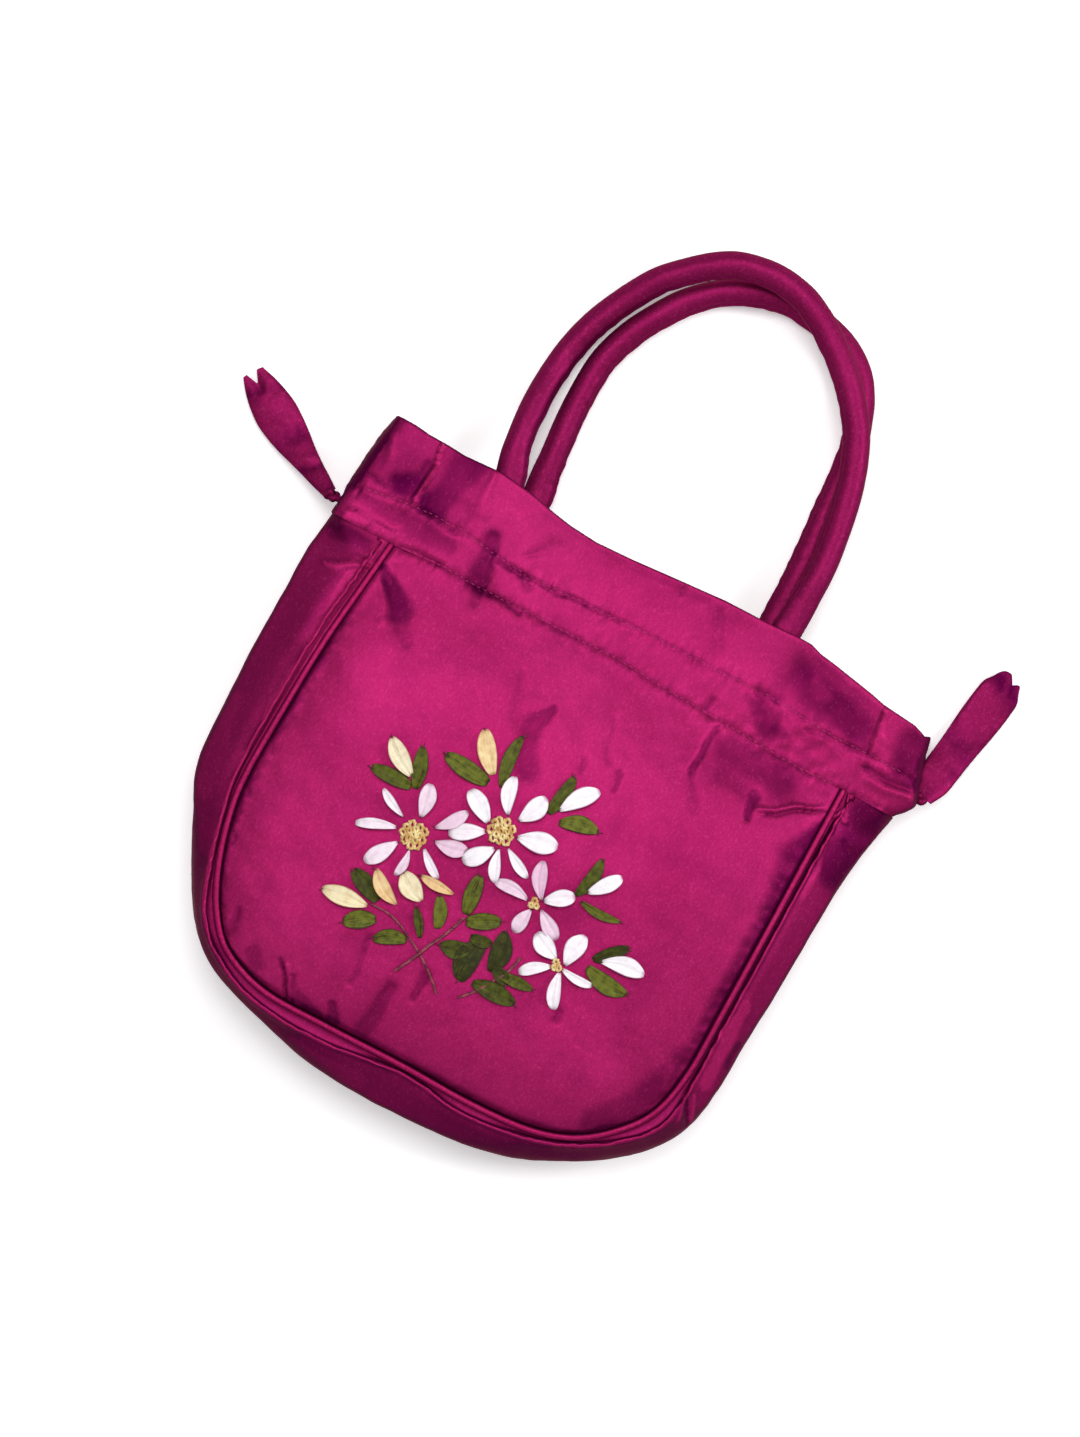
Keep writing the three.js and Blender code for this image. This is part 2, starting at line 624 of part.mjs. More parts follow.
function tabRoute(sign, heading, curl, stretch) {
  const start = knotCentre(sign);
  const reach = KNOT_DIAMETER / 2 + GAP;
  const low = TAB_THICKNESS / 2;
  const points = [];
  const place = start.clone();
  for (let i = 0; i <= TAB_STEPS; i++) {
    const share = i / TAB_STEPS;
    const angle = THREE.MathUtils.degToRad(heading + curl * (share - 0.5));
    const step = i === 0 ? reach : (stretch * TAB_LENGTH) / TAB_STEPS;
    place.x += step * Math.cos(angle);
    place.y += step * Math.sin(angle);
    const ease = (1 - Math.min(1, share / 0.7)) ** 2;
    points.push(new THREE.Vector3(place.x, place.y, low + (start.z - low) * ease));
  }
  return points;
}

function tab({ sign, heading, curl, stretch }) {
  const points = tabRoute(sign, heading, curl, stretch);
  const outline = rowCurve(TAB_OUTLINE, (share) => new THREE.Vector3(share, 0, 0));
  const width = (i) => outline(((TAB_OUTLINE.length - 1) * i) / TAB_STEPS).x * TAB_WIDTH;
  const blade = tube(points, TAB_SIDES, (i) => [width(i) / 2, TAB_THICKNESS / 2]);
  const tip = points[TAB_STEPS];
  const travel = tip.clone().sub(points[TAB_STEPS - 1]).setZ(0).normalize();
  const sideways = new THREE.Vector3(-travel.y, travel.x, 0);
  const halfNotch = TAB_FORK_DEPTH * 0.4;
  const corner = (forward, aside) =>
    new THREE.Vector2(
      tip.x + travel.x * forward + sideways.x * aside,
      tip.y + travel.y * forward + sideways.y * aside,
    );
  const notch = new THREE.Shape([
    corner(-TAB_FORK_DEPTH, 0),
    corner(1, -halfNotch),
    corner(1, halfNotch),
  ]);
  const cut = new THREE.ExtrudeGeometry(notch, { depth: 4 * TAB_THICKNESS, bevelEnabled: false });
  cut.translate(0, 0, -TAB_THICKNESS);
  return geometryOfSolid(solidOf(blade).subtract(solidOf(cut)));
}

// Handles: two stuffed tubes, pressed flat where they are sewn inside the collar.
const HANDLE_STEPS = 54;
const HANDLE_SIDES = 10;
const handleRadius = HANDLE_DIAMETER / 2;
const endHalf = Math.min(
  handleRadius,
  (HANDLE_END_FILL * (MOUTH_RISE - 2 * COLLAR_WALL)) / 4,
);
const handleFoot = casingMiddle.y + CASING_HEIGHT + CASING_EDGE + 1; // y of the sewn ends
const collarTop = BAND_HEIGHT * Math.max(...TOP_EDGE.map((row) => row.height));

function handlePlan(rows) {
  const route = rowCurve(
    rows,
    (r) => new THREE.Vector3(r.x * HANDLE_SPAN, handleFoot + r.y * HANDLE_RISE, 0),
  );
  return Array.from({ length: HANDLE_STEPS + 1 }, (_, i) =>
    route(((rows.length - 1) * i) / HANDLE_STEPS),
  );
}

// How much of the sewn, flattened end is left at a point: 1 inside the collar, 0 well outside it.
function pressedShare(point) {
  const mouth = casingMiddle.y + collarTop;
  return 1 - THREE.MathUtils.smoothstep(point.y, mouth, mouth + HANDLE_ROUNDING);
}

const backRoute = handlePlan(BACK_HANDLE).map((point) => {
  const pressed = pressedShare(point);
  const inside = COLLAR_WALL + GAP + endHalf;
  point.z = THREE.MathUtils.lerp(handleRadius + FLOOR_CLEARANCE, inside, pressed);
  return point;
});

// The front handle lies on the floor, and rides over the back one where their plans come close.
function frontRoute() {
  const plan = handlePlan(FRONT_HANDLE);
  const spacing = HANDLE_DIAMETER + 2 * GAP;
  const need = plan.map((point) => {
    const away = Math.min(
      ...backRoute.map((other) => Math.hypot(other.x - point.x, other.y - point.y)),
    );
    return away < spacing ? Math.sqrt(spacing ** 2 - away ** 2) : 0;
  });
  const reach = 4;
  const near = (list, i) => list.slice(Math.max(0, i - reach), i + reach + 1);
  const widest = need.map((_, i) => Math.max(...near(need, i)));
  const lift = widest.map((_, i) => {
    const around = near(widest, i);
    return around.reduce((sum, value) => sum + value, 0) / around.length;
  });
  const top = MOUTH_RISE - COLLAR_WALL - GAP - endHalf;
  return plan.map((point, i) => {
    const loose = handleRadius + FLOOR_CLEARANCE + lift[i];
    point.z = THREE.MathUtils.lerp(loose, top - dentAt(point), pressedShare(point));
    return point;
  });
}

// Deepest dent of the collar over a handle's end, and a gap more, so that the end clears it.
function dentAt(point) {
  const around = [-1, -0.5, 0, 0.5, 1].map((side) =>
    foldHeight(point.x + side * HANDLE_DIAMETER, point.y),
  );
  return GAP + Math.max(0, -Math.min(...around));
}

function handle(points) {
  return tube(points, HANDLE_SIDES, (i) => {
    const pressed = pressedShare(points[i]);
    const spread = 1 + 0.12 * pressed;
    return [handleRadius * spread, THREE.MathUtils.lerp(handleRadius, endHalf, pressed)];
  });
}

// Assembly
const bag = new THREE.Group();

function add(name, geometry, material) {
  const mesh = new THREE.Mesh(geometry, material);
  mesh.name = name;
  bag.add(mesh);
  return mesh;
}

add("front_panel", frontPanel(), satin);
add("back_panel", backPanel(), satin);
add("gusset", gusset(), satin);
add("front_piping", piping((seam) => seam.rise - GUSSET_WALL / 2), pipingSatin);
add("back_piping", piping(() => BACK_SEAM_Z), pipingSatin);
add("top_band", topBand(), satin);
add("back_handle", handle(backRoute), satin);
add("front_handle", handle(frontRoute()), satin);
for (const spec of TABS) {
  const side = spec.sign < 0 ? "left" : "right";
  add(`drawstring_${side}`, drawstring(spec.sign), cordSatin);
  add(`knot_${side}`, knot(), cordSatin).position.copy(knotCentre(spec.sign));
  add(`tab_${side}`, tab(spec), satin);
}

export default bag;
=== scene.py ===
# A drawstring reticule of fuchsia satin, lying on its back on a pale table.
import math
import random

import bmesh
import bpy
from mathutils import Matrix, Vector, noise
from mathutils.bvhtree import BVHTree


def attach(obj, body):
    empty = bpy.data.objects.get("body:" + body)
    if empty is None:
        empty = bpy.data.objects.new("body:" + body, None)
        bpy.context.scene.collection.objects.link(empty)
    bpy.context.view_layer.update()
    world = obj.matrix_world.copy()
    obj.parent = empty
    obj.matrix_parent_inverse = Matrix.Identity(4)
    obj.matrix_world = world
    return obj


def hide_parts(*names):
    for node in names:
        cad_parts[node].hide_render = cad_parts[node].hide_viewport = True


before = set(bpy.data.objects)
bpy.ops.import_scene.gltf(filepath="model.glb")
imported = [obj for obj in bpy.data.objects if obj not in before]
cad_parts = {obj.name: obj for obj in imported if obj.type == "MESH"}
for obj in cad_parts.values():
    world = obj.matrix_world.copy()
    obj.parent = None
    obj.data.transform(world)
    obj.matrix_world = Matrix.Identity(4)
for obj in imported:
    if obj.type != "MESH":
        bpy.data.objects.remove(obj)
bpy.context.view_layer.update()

# The table, the camera and the light
# The photographer stood over a white table, with the bag turned a little clockwise. A broad pale
# light hangs over the table, a window stands to the right, and a weak light fills the near side.
FIELD_HEIGHT = 0.4598  # m, what the picture takes in from top to bottom
FIELD_PLANE = 0.015  # m, the height above the table at which it takes that in
CAMERA_DISTANCE = 1.2  # m, above that height
CAMERA_TURN = math.radians(27)
AIM = (-0.0117, 0.0425)
SENSOR = 36.0

scene = bpy.context.scene
scene.view_settings.view_transform = "Standard"
camera_data = bpy.data.cameras.new("camera")
camera_data.sensor_width = SENSOR
camera_data.lens = SENSOR * CAMERA_DISTANCE / FIELD_HEIGHT
camera_data.clip_end = 10.0
camera = bpy.data.objects.new("camera", camera_data)
camera.location = (*AIM, CAMERA_DISTANCE + FIELD_PLANE)
camera.rotation_euler = (0.0, 0.0, CAMERA_TURN)
scene.collection.objects.link(camera)
scene.camera = camera


class Socket:
    """A socket in a material. Sums of sockets add the Math nodes that work them out."""

    def __init__(self, finish, link):
        self.finish = finish
        self.link = link

    def maths(self, operation, *values):
        return self.finish.node("ShaderNodeMath", {"operation": operation}, values)

    def __add__(self, other):
        return self.maths("ADD", self, other)

    __radd__ = __add__

    def __sub__(self, other):
        return self.maths("SUBTRACT", self, other)

    def __rsub__(self, other):
        return self.maths("SUBTRACT", other, self)

    def __mul__(self, other):
        return self.maths("MULTIPLY", self, other)

    __rmul__ = __mul__


class Finish:
    """A material, and the one method that adds its nodes."""

    def __init__(self, name):
        self.material = bpy.data.materials.new(name)
        self.material.use_nodes = True
        self.tree = self.material.node_tree
        self.tree.nodes.clear()

    def node(self, kind, settings=None, values=(), output=0):
        """Adds a node. values are numbers or sockets, in order or by input name or number."""
        node = self.tree.nodes.new(kind)
        for name, value in (settings or {}).items():
            if name == "stops":
                stops = node.color_ramp.elements
                while len(stops) < len(value):
                    stops.new(1.0)
                for stop, (position, colour) in zip(stops, value):
                    stop.position = position
                    stop.color = colour
            else:
                setattr(node, name, value)
        pairs = values.items() if isinstance(values, dict) else enumerate(values)
        for key, value in pairs:
            if isinstance(value, Socket):
                self.tree.links.new(value.link, node.inputs[key])
            else:
                node.inputs[key].default_value = value
        return Socket(self, node.outputs[output]) if node.outputs else None

    def place(self):
        """A place on the piece, in metres."""
        return self.node("ShaderNodeTexCoord", None, (), output="Object")

    def layer(self, name):
        """The number that the piece's points carry under a name."""
        return self.node("ShaderNodeAttribute", {"attribute_name": name}, (), output="Fac")

    def mix(self, share, first, second):
        """A colour between two colours."""
        settings = {"data_type": "RGBA"}
        return self.node("ShaderNodeMix", settings, {0: share, 6: first, 7: second}, output=2)

    def band(self, value, low, high):
        """0 below low, 1 above high, and smooth between them."""
        settings = {"interpolation_type": "SMOOTHSTEP"}
        return self.node("ShaderNodeMapRange", settings, [value, low, high, 0.0, 1.0])

    def noise(self, place, scale, detail=2.0):
        """Noise about 0.5. scale is one number for each metre, or one for each axis."""
        if not isinstance(scale, (int, float)):
            place = self.node("ShaderNodeMapping", None, {"Vector": place, "Scale": scale})
            scale = 1.0
        values = {"Vector": place, "Scale": scale, "Detail": detail}
        return self.node("ShaderNodeTexNoise", None, values)

    def bump(self, height, depth, strength=1.0):
        """A surface normal raised by height, with depth in metres."""
        values = {"Strength": strength, "Distance": depth, "Height": height}
        return self.node("ShaderNodeBump", None, values)

    def surface(self, **values):
        """Ends the material with a Principled shader."""
        inputs = {name.replace("_", " "): value for name, value in values.items()}
        shader = self.node("ShaderNodeBsdfPrincipled", None, inputs)
        self.node("ShaderNodeOutputMaterial", None, [shader])
        return self.material


WHITE = (1.0, 1.0, 1.0, 1.0)
bm = bmesh.new()
bmesh.ops.create_grid(bm, x_segments=1, y_segments=1, size=4.0)
mesh = bpy.data.meshes.new("table")
bm.to_mesh(mesh)
bm.free()
mesh.materials.append(
    Finish("white_table").surface(
        Base_Color=WHITE, Roughness=0.9, Emission_Color=WHITE, Emission_Strength=0.3
    )
)
table = bpy.data.objects.new("table", mesh)
scene.collection.objects.link(table)

# Each light: colour, watts, size and place in metres.
LIGHTS = {
    "overhead": ((1.0, 0.98, 0.98), 12.5, 0.8, (-0.25, 0.5, 1.45)),
    "window": ((1.0, 0.98, 1.0), 12.0, 0.5, (1.1, 0.8, 1.0)),
    "fill": ((1.0, 0.96, 1.0), 4.5, 1.4, (-0.2, -1.0, 1.3)),
}
for name, (colour, power, size, place) in LIGHTS.items():
    light = bpy.data.lights.new(name, "AREA")
    light.size = size
    light.energy = power
    light.color = colour
    lamp = bpy.data.objects.new(name, light)
    lamp.location = place
    lamp.rotation_euler = (-Vector(place)).to_track_quat("-Z", "Y").to_euler()
    scene.collection.objects.link(lamp)
world = bpy.data.worlds.new("room")
world.use_nodes = True
world.node_tree.nodes["Background"].inputs["Color"].default_value = WHITE
world.node_tree.nodes["Background"].inputs["Strength"].default_value = 0.25
scene.world = world


# The satin
# Polyester satin, woven of pink weft across a plum warp. Slopes and the bottoms of folds get
# painted plum shade. The weave is too fine to count, and shows as a grain with paler slubs.
PAINTED_SHADE_PLUM = (0.085, 0.001, 0.038, 1.0)
SLUB = (0.7, 0.09, 0.3, 1.0)
SHEEN = (0.5, 0.04, 0.2, 1.0)
WEAVE_DEPTH = 0.00012  # m


def satin(name, bright, deep, grain=1.0, depth=1.0):
    """Satin between two pinks. grain is how much its weave shows, and depth how strong its painted
    shade is.
    """
    finish = Finish(name)
    place = finish.place()
    # The grain of the weave, its slubs and broad patches, each by its number in a metre.
    fine = finish.noise(place, 1500.0, 3.0)
    slubs = finish.noise(place, (1300.0, 620.0, 900.0))
    broad = finish.noise(place, 28.0, 3.0)
    tone = 0.55 * fine + 0.3 * slubs + 0.35 * broad - 0.1
    colour = finish.mix(finish.band(tone, 0.3, 0.75), deep, bright)
    # Painted shade: each point's painted shade, with soft random patches, mixes the colour toward
    # plum.
    creased = depth * finish.layer("crease") + 0.16 * broad - 0.08
    colour = finish.mix(creased, colour, PAINTED_SHADE_PLUM)
    specks = 0.08 * finish.band(slubs * fine, 0.3, 0.42)
    colour = finish.mix(specks, colour, SLUB)
    return finish.surface(
        Base_Color=colour,
        Roughness=0.46 + 0.12 * fine,
        Metallic=0.62,
        Specular_IOR_Level=0.08,
        Specular_Tint=SHEEN,
        Normal=finish.bump(0.6 * fine + 0.4 * slubs, WEAVE_DEPTH, 0.14 * grain),
    )


FUCHSIA = (0.45, 0.019, 0.138, 1.0)
ROSE_PLUM = (0.33, 0.011, 0.097, 1.0)
body_satin = satin("fuchsia_satin", FUCHSIA, ROSE_PLUM)
piping_satin = satin("piping_satin", (0.46, 0.02, 0.13, 1.0), (0.3, 0.008, 0.08, 1.0), 0.5)
cord_satin = satin("cord_satin", (0.3, 0.012, 0.09, 1.0), (0.15, 0.005, 0.05, 1.0), 0.5)
# A darker copy of the same satin for the handles and tabs, as painted shade, with less of the
# slopes' painted shade.
painted_shade_satin = satin("painted_shade_handle_satin", (0.3, 0.012, 0.096, 1.0), (0.2, 0.006, 0.062, 1.0), 0.7, 0.66)


# The front panel
# Satin quilted over thin wadding, sewn into its piping at the sides and the foot, and running on
# up through the casing. It swells in the middle and dents below the gathered casing.
MM = 0.001
CASING_MIDDLE = Vector((3.0, 75.0, 0.0))  # mm, from the frame's origin
PANEL_WIDTH = 168.0
PANEL_HEIGHT = 146.0
# The seam, from the top left round the foot to the top right. Each row is its x and y, the reach
# of the gusset past it and its height, in mm from the casing's middle and the table.
SEAM = [
    (-82.1, -4.6, 22, 20),
    (-84, -20, 22, 23.4),
    (-86.5, -40, 20, 27),
    (-88, -60, 19, 29.1),
    (-89.5, -90, 17, 30),
    (-88, -105, 13, 30.9),
    (-84, -120, 10, 31.5),
    (-78, -133, 8.8, 31.5),
    (-69.4, -142.5, 8.4, 31.5),
    (-53.4, -148.8, 9, 30.9),
    (-29.9, -149.8, 14.4, 30),
    (-3, -150.1, 16, 29.1),
    (20, -151, 14.4, 29.1),
    (40, -150, 11.6, 30),
    (54.1, -146, 9.2, 30.6),
    (65, -138.4, 10, 30.9),
    (74, -127.2, 11.6, 30.9),
    (78, -111.6, 12, 30),
    (79, -90, 12.4, 29.7),
    (80, -60, 13.6, 28.5),
    (81, -29.8, 15.2, 24.9),
    (81.9, -9, 19, 20),
]
LAST_ROW = len(SEAM) - 1
LEFT_CORNER = 8
RIGHT_CORNER = 15
MOUTH_RISE = 20.0
SEAM_REACH = 1.16  # from the seam's middle to the edge of the panel's cloth
PANEL_WALL = 1.6
PANEL_CROWN = 5.4
CASING_CROWN = 1.6


def on_bag(x, y, z):
    """A place in the frame, in mm, from x and y measured from the casing's middle."""
    return Vector((x, y, z)) + CASING_MIDDLE


def spline(rows, t):
    """The values at row number t of a smooth curve through a table's rows."""
    last = len(rows) - 1
    t = min(max(t, 0.0), float(last))
    i = min(int(t), last - 1)
    f = t - i
    p1 = rows[i]
    p2 = rows[i + 1]
    p0 = rows[i - 1] if i > 0 else [2 * a - b for a, b in zip(p1, p2)]
    p3 = rows[i + 2] if i + 2 <= last else [2 * b - a for a, b in zip(p1, p2)]
    return [
        b + 0.5 * f * (c - a + f * (2 * a - 5 * b + 4 * c - d + f * (3 * (b - c) + d - a)))
        for a, b, c, d in zip(p0, p1, p2, p3)
    ]


def curve(values, t):
    """spline for a table with one number in each row."""
    return spline([(value,) for value in values], t)[0]


def smooth(value, low, high):
    """0 below low, 1 above high, and smooth between them."""
    f = min(max((value - low) / (high - low), 0.0), 1.0)
    return f * f * (3 - 2 * f)


def hump(value, width):
    """1 at zero, falling to nothing at about twice the width."""
    return math.exp(-((value / width) ** 2))


def ripple(x, y, seed):
    """Even noise about zero."""
    return noise.noise(Vector((x, y, seed)))


def wave(x, y, length, seed):
    """Even noise about zero, with waves of about that length in mm."""
    return ripple(x / length, y / length, seed)


seam_run = Vector(SEAM[-1][:2]) - Vector(SEAM[0][:2])
casing_half = seam_run.length / 2
casing_along = seam_run.normalized()
casing_up = Vector((-casing_along.y, casing_along.x))
casing_foot = (Vector(SEAM[0][:2]) + Vector(SEAM[-1][:2])) / 2


def seam_at(row):
    """The seam's place, its outward direction, the gusset's reach and the seam's height."""
    x, y, reach, rise = spline(SEAM, row)
    ahead = spline(SEAM, row + 0.05)
    behind = spline(SEAM, row - 0.05)
    travel = Vector((ahead[0] - behind[0], ahead[1] - behind[1])).normalized()
    outward = Vector((travel.y, -travel.x))
    from_end = min(row, LAST_ROW - row)
    if from_end < 1:
        side = casing_along if row > LAST_ROW / 2 else -casing_along
        outward = outward.lerp(side, 1 - from_end).normalized()
    return Vector((x, y)), outward, reach, rise


# Dents and folds of the front. Each is x, y of its two ends, from the casing's middle, its half
# width at either end, its height, all in mm, and how much painted shade it gets, below 0 for
# painted highlight.
FOLDS = [
    # The panel below the left end of the casing.
    (-80.8, -12, -70, -22, 1.4, 5.4, -0.8, 0.78),
    (-68.5, -25, -63, -31, 3.4, 2.4, -0.4, 0.26),
    (-81, -14, -73, -27, 1, 2, 0.5, -0.1),
    # The left end of the casing and the collar.
    (-54.2, 12.5, -52, -3, 2.2, 4.4, -0.7, 0.58),
    (-52, -4, -50, -9, 3.5, 2, -0.3, 0.34),
    (-88.5, 13.8, -84, 15.5, 4.6, 5.4, -0.7, 0.6),
    (-84, 20, -83.8, 24, 2, 1.5, -0.4, 0.34),
    (-81.4, 31, -81.2, 10, 0.6, 0.7, 1.1, -0.9),
    (-71.5, 31.5, -74.5, 13, 8, 5.6, -0.5, 0.66),
    (-78, 14, -77.4, 10, 2.4, 2.2, -0.4, 0.72),
    (-68, 27, -66, 14, 5.5, 5, 0, 0.34),
    (-66.5, 16, -65.5, 11.5, 2.5, 2, -0.3, 0.34),
    (-99, 4, -84, 4.2, 2.2, 3, -0.3, 0.41),
    (-78, 3.6, -66, 3.2, 5.2, 3.6, -0.4, 0.42),
    (-79, -3.9, -65, -3, 0.6, 0.6, -0.6, 0.54),
    (-79, 9, -64, 8.4, 0.7, 0.7, -0.5, 0.41),
    (-50, 6.2, -38, 5.3, 0.8, 0.9, -0.5, 0.47),
    (-38, 5.6, -6, 6.2, 0.7, 0.6, -0.3, 0.27),
    (-40.5, 5, -37, 2.4, 1, 1.6, -0.6, 0.43),
    (-52, -5, -36, -5.6, 1.1, 1, -0.5, 0.51),
    (-99.6, 31, -101.5, 6, 1.6, 1.8, 0, 0.61),
    (-101, -1.5, -83, 0.9, 0.5, 0.5, 0.5, -0.25),
    (-100, -0.3, -86, -0.1, 0.5, 0.5, -0.5, 0.41),
    (-99, -3.5, -93, -2.6, 1.6, 1.6, 0.4, -0.2),
    # The collar between the handles, and its middle.
    (-42, 26.5, -12, 24.2, 1.8, 1.5, 0, 0.14),
    (-12, 24.2, 16, 25, 1.5, 1.2, 0, 0.14),
    (7.5, 25.5, 7.8, 23.5, 1.2, 0.8, -0.4, 0.34),
    (-12, 14.5, -11.5, 3, 0.7, 0.7, -0.3, 0.16),
    (-42, 12, -36, 18, 0.8, 3, -0.4, 0.1),
    (-63, 30, -60.5, 18, 1, 2.6, 0.5, -0.1),
    (-97, 26, -91, 11, 1.2, 2, 0.5, -0.2),
    (-99, 12.5, -92, 11, 0.7, 1, -0.5, 0.3),
    (20, 24, 26, 12, 0.8, 3, -0.4, 0.12),
    # The right end of the collar.
    (54.5, 16.5, 77, 11, 7.6, 7.6, -0.5, 0.74),
    (51.5, 20, 50, 12, 4.6, 4, -0.8, 0.27),
    (55, 23.5, 80, 18.5, 2, 2, 0, 0.3),
    (58.5, 17.5, 63, 14.5, 2.5, 3, 0.5, -0.2),
    (62, 5.5, 74, 5.5, 1.4, 2.4, 0.4, -0.15),
    (82.4, 20, 84.2, 5.5, 0.7, 1.4, 1, -0.7),
    (85, 11, 88.5, 2.5, 1.4, 2.2, 0.4, -0.3),
    (94, 14.5, 97, 4, 5.5, 6, -0.5, 0.61),
    (101, 12, 102.5, 3, 2.5, 3, -0.6, 0.54),
    (88, -2.2, 102, -1.7, 1.2, 1.6, 0.8, -0.5),
    (84.5, 0.2, 101, 0.4, 0.9, 0.9, -0.6, 0.54),
    # The right end of the casing.
    (45, 3.5, 53, -3, 3.8, 6, -0.7, 0.56),
    (43, 6.5, 50, 8, 1.6, 2.4, -0.5, 0.41),
    (57.6, 4, 58.5, -5, 1.2, 1.4, 0.5, -0.15),
    (62, 3.8, 80, 3.6, 0.7, 0.7, -0.4, 0.3),
    (32.4, -2, 31.3, -6, 1, 1, -0.5, 0.43),
    # The panel below the right end of the casing.
    (44, -14, 63, -15, 6, 7, -0.5, 0.5),
    (46, -22, 54, -24, 4.5, 3, -0.3, 0.3),
    (66, -14, 67.5, -19, 3, 2.4, -0.3, 0.27),
    (57, -23.5, 58.6, -31, 2.6, 1.3, -0.9, 0.68),
    (37, -9.5, 35.6, -26, 0.7, 0.9, -0.7, 0.47),
    (36, -26, 41, -36, 0.9, 2.6, -0.3, 0.18),
    (34, -9.5, 33.4, -26, 1.4, 1.4, 0.4, -0.1),
    (82, -15, 60.5, -26.2, 0.8, 0.7, 0.8, -0.12),
    (81.5, -16.8, 63, -27.2, 0.6, 0.6, -0.7, 0.5),
    (83, -18, 77.5, -35, 1.2, 7, -0.2, 0.8),
    (77.5, -35, 79.5, -56, 7, 5, -0.2, 0.74),
    (79.5, -56, 78, -102, 5, 5.6, -0.2, 0.62),
    (78, -102, 70, -124, 5.6, 6, -0.2, 0.5),
    (70, -124, 57, -139, 6, 4.6, -0.2, 0.4),
    (75, -130, 50, -150.5, 3.4, 3, -0.5, 0.7),
    (71.5, -113, 74, -117, 1.8, 1.8, 0.3, -0.15),
    # The middle of the panel.
    (-12, -27, -16, -36, 0.7, 3.6, -0.6, 0.49),
    (-16, -38, -11, -49, 4, 4.6, -0.6, 0.46),
    (-26, -22, -21, -35, 1.4, 3, -0.3, 0.12),
    (5.5, -22, 10.5, -34, 1, 1.6, -0.4, 0.14),
    (15, -36.5, 16, -42, 1.4, 0.9, -0.5, 0.43),
    (4, -38.5, 4.6, -41.5, 1.4, 0.9, -0.4, 0.35),
    # The foot of the panel.
    (-31.2, -118.5, -30.6, -134, 0.8, 0.7, -0.6, 0.34),
    (-35.5, -123, -34.5, -138, 3.6, 3.6, -0.3, 0.14),
    (-31.5, -142, -29.5, -147, 1.6, 2.2, -0.6, 0.57),
    (-18, -129, -20, -145, 2, 3.6, -0.8, 0.46),
    (-10.6, -121, -10.4, -130, 1.8, 0.7, -0.7, 0.51),
    (-72.5, -130, -71.5, -136, 1.4, 2.4, -0.5, 0.34),
    (-62, -138.5, -58.5, -142, 2.6, 2.6, -0.4, 0.34),
    (-53, -137, -46.5, -147.5, 0.7, 0.8, -0.7, 0.49),
    (-50.8, -138, -45, -146, 0.8, 0.8, 0.6, -0.2),
    (-47.5, -140.5, -44, -147, 0.7, 0.9, -0.6, 0.46),
    (-43, -144.5, -35, -147.5, 1.6, 2, -0.3, 0.34),
    (32.5, -112, 33, -115, 1.5, 1.5, -0.4, 0.38),
]


def folds_at(x, y, folds):
    """The height that the folds add at a place, and the painted shade, below 0 painted highlight,
    that they bring there.
    """
    warped_x = x + 1.3 * wave(x, y, 9.0, 15.0) + 0.3 * wave(x, y, 2.6, 16.0)
    warped_y = y + 1.3 * wave(x, y, 9.0, 17.0) + 0.3 * wave(x, y, 2.6, 18.0)
    height = 0.0
    dark = 0.0
    light = 0.0
    for x0, y0, x1, y1, start_width, end_width, fold, painted_shading in folds:
        ax = x1 - x0
        ay = y1 - y0
        bx = warped_x - x0
        by = warped_y - y0
        share = min(max((ax * bx + ay * by) / (ax * ax + ay * ay), 0.0), 1.0)
        bx -= ax * share
        by -= ay * share
        width = start_width + (end_width - start_width) * share
        distance = math.hypot(bx, by) / width
        if distance < 2.2:
            height += fold * math.exp(-distance * distance)
            # A broad fold fades out more slowly than a sharp one.
            soft = min(1.0, width / 8.0)
            here = painted_shading * (1 - smooth(distance, 0.65 - 0.35 * soft, 1.2 + 0.1 * soft))
            dark = max(dark, here)
            light = min(light, here)
    return height, dark + light


# The two stitch lines of the casing, from left to right.
UPPER_STITCHES = [
    (-102, 6.5), (-90, 8), (-80, 9.5), (-65, 9.3), (-55, 7.7), (-40, 5.8),
    (-20, 6.4), (0, 6.8), (20, 6.6), (40, 6.4), (50, 6.6), (60, 5.2), (70, 4.6),
    (83, 4.4), (100, 4),
]
LOWER_STITCHES = [
    (-102, -4.4), (-90, -4.8), (-80, -4.5), (-65, -3.6), (-52, -4.4), (-40, -4.4),
    (-20, -4.7), (0, -5), (20, -6.6), (33, -7.3), (45, -8), (60, -9.2),
    (70, -9.3), (83, -9), (100, -8.6),
]


def line_height(rows, x):
    """The y of a stitch line at x."""
    for (x0, y0), (x1, y1) in zip(rows, rows[1:]):
        if x <= x1:
            return y0 + (y1 - y0) * (x - x0) / (x1 - x0)
    return rows[-1][1]


def stitch_relief(x, y):
    """The groove that a row of stitches pulls into the cloth, with small gathers, and the painted
    shade in and beside it.
    """
    total = 0.0
    shade = 0.0
    for seed, rows in ((3.0, UPPER_STITCHES), (7.0, LOWER_STITCHES)):
        away = y - line_height(rows, x)
        if abs(away) < 8:
            gathers = hump(away, 3.0) * ripple(x / 1.7, away / 9.0, seed)
            gathers += 0.6 * hump(away, 1.6) * ripple(x / 0.8, away / 6.0, seed + 1)
            total += 0.62 * gathers - 0.26 * hump(away, 0.7)
            pull = ripple(x / 2.4, away / 3.0, seed + 2)
            shade += 0.16 * hump(away, 0.8) + 0.42 * hump(away, 2.4) * max(0.0, pull)
    return total, shade


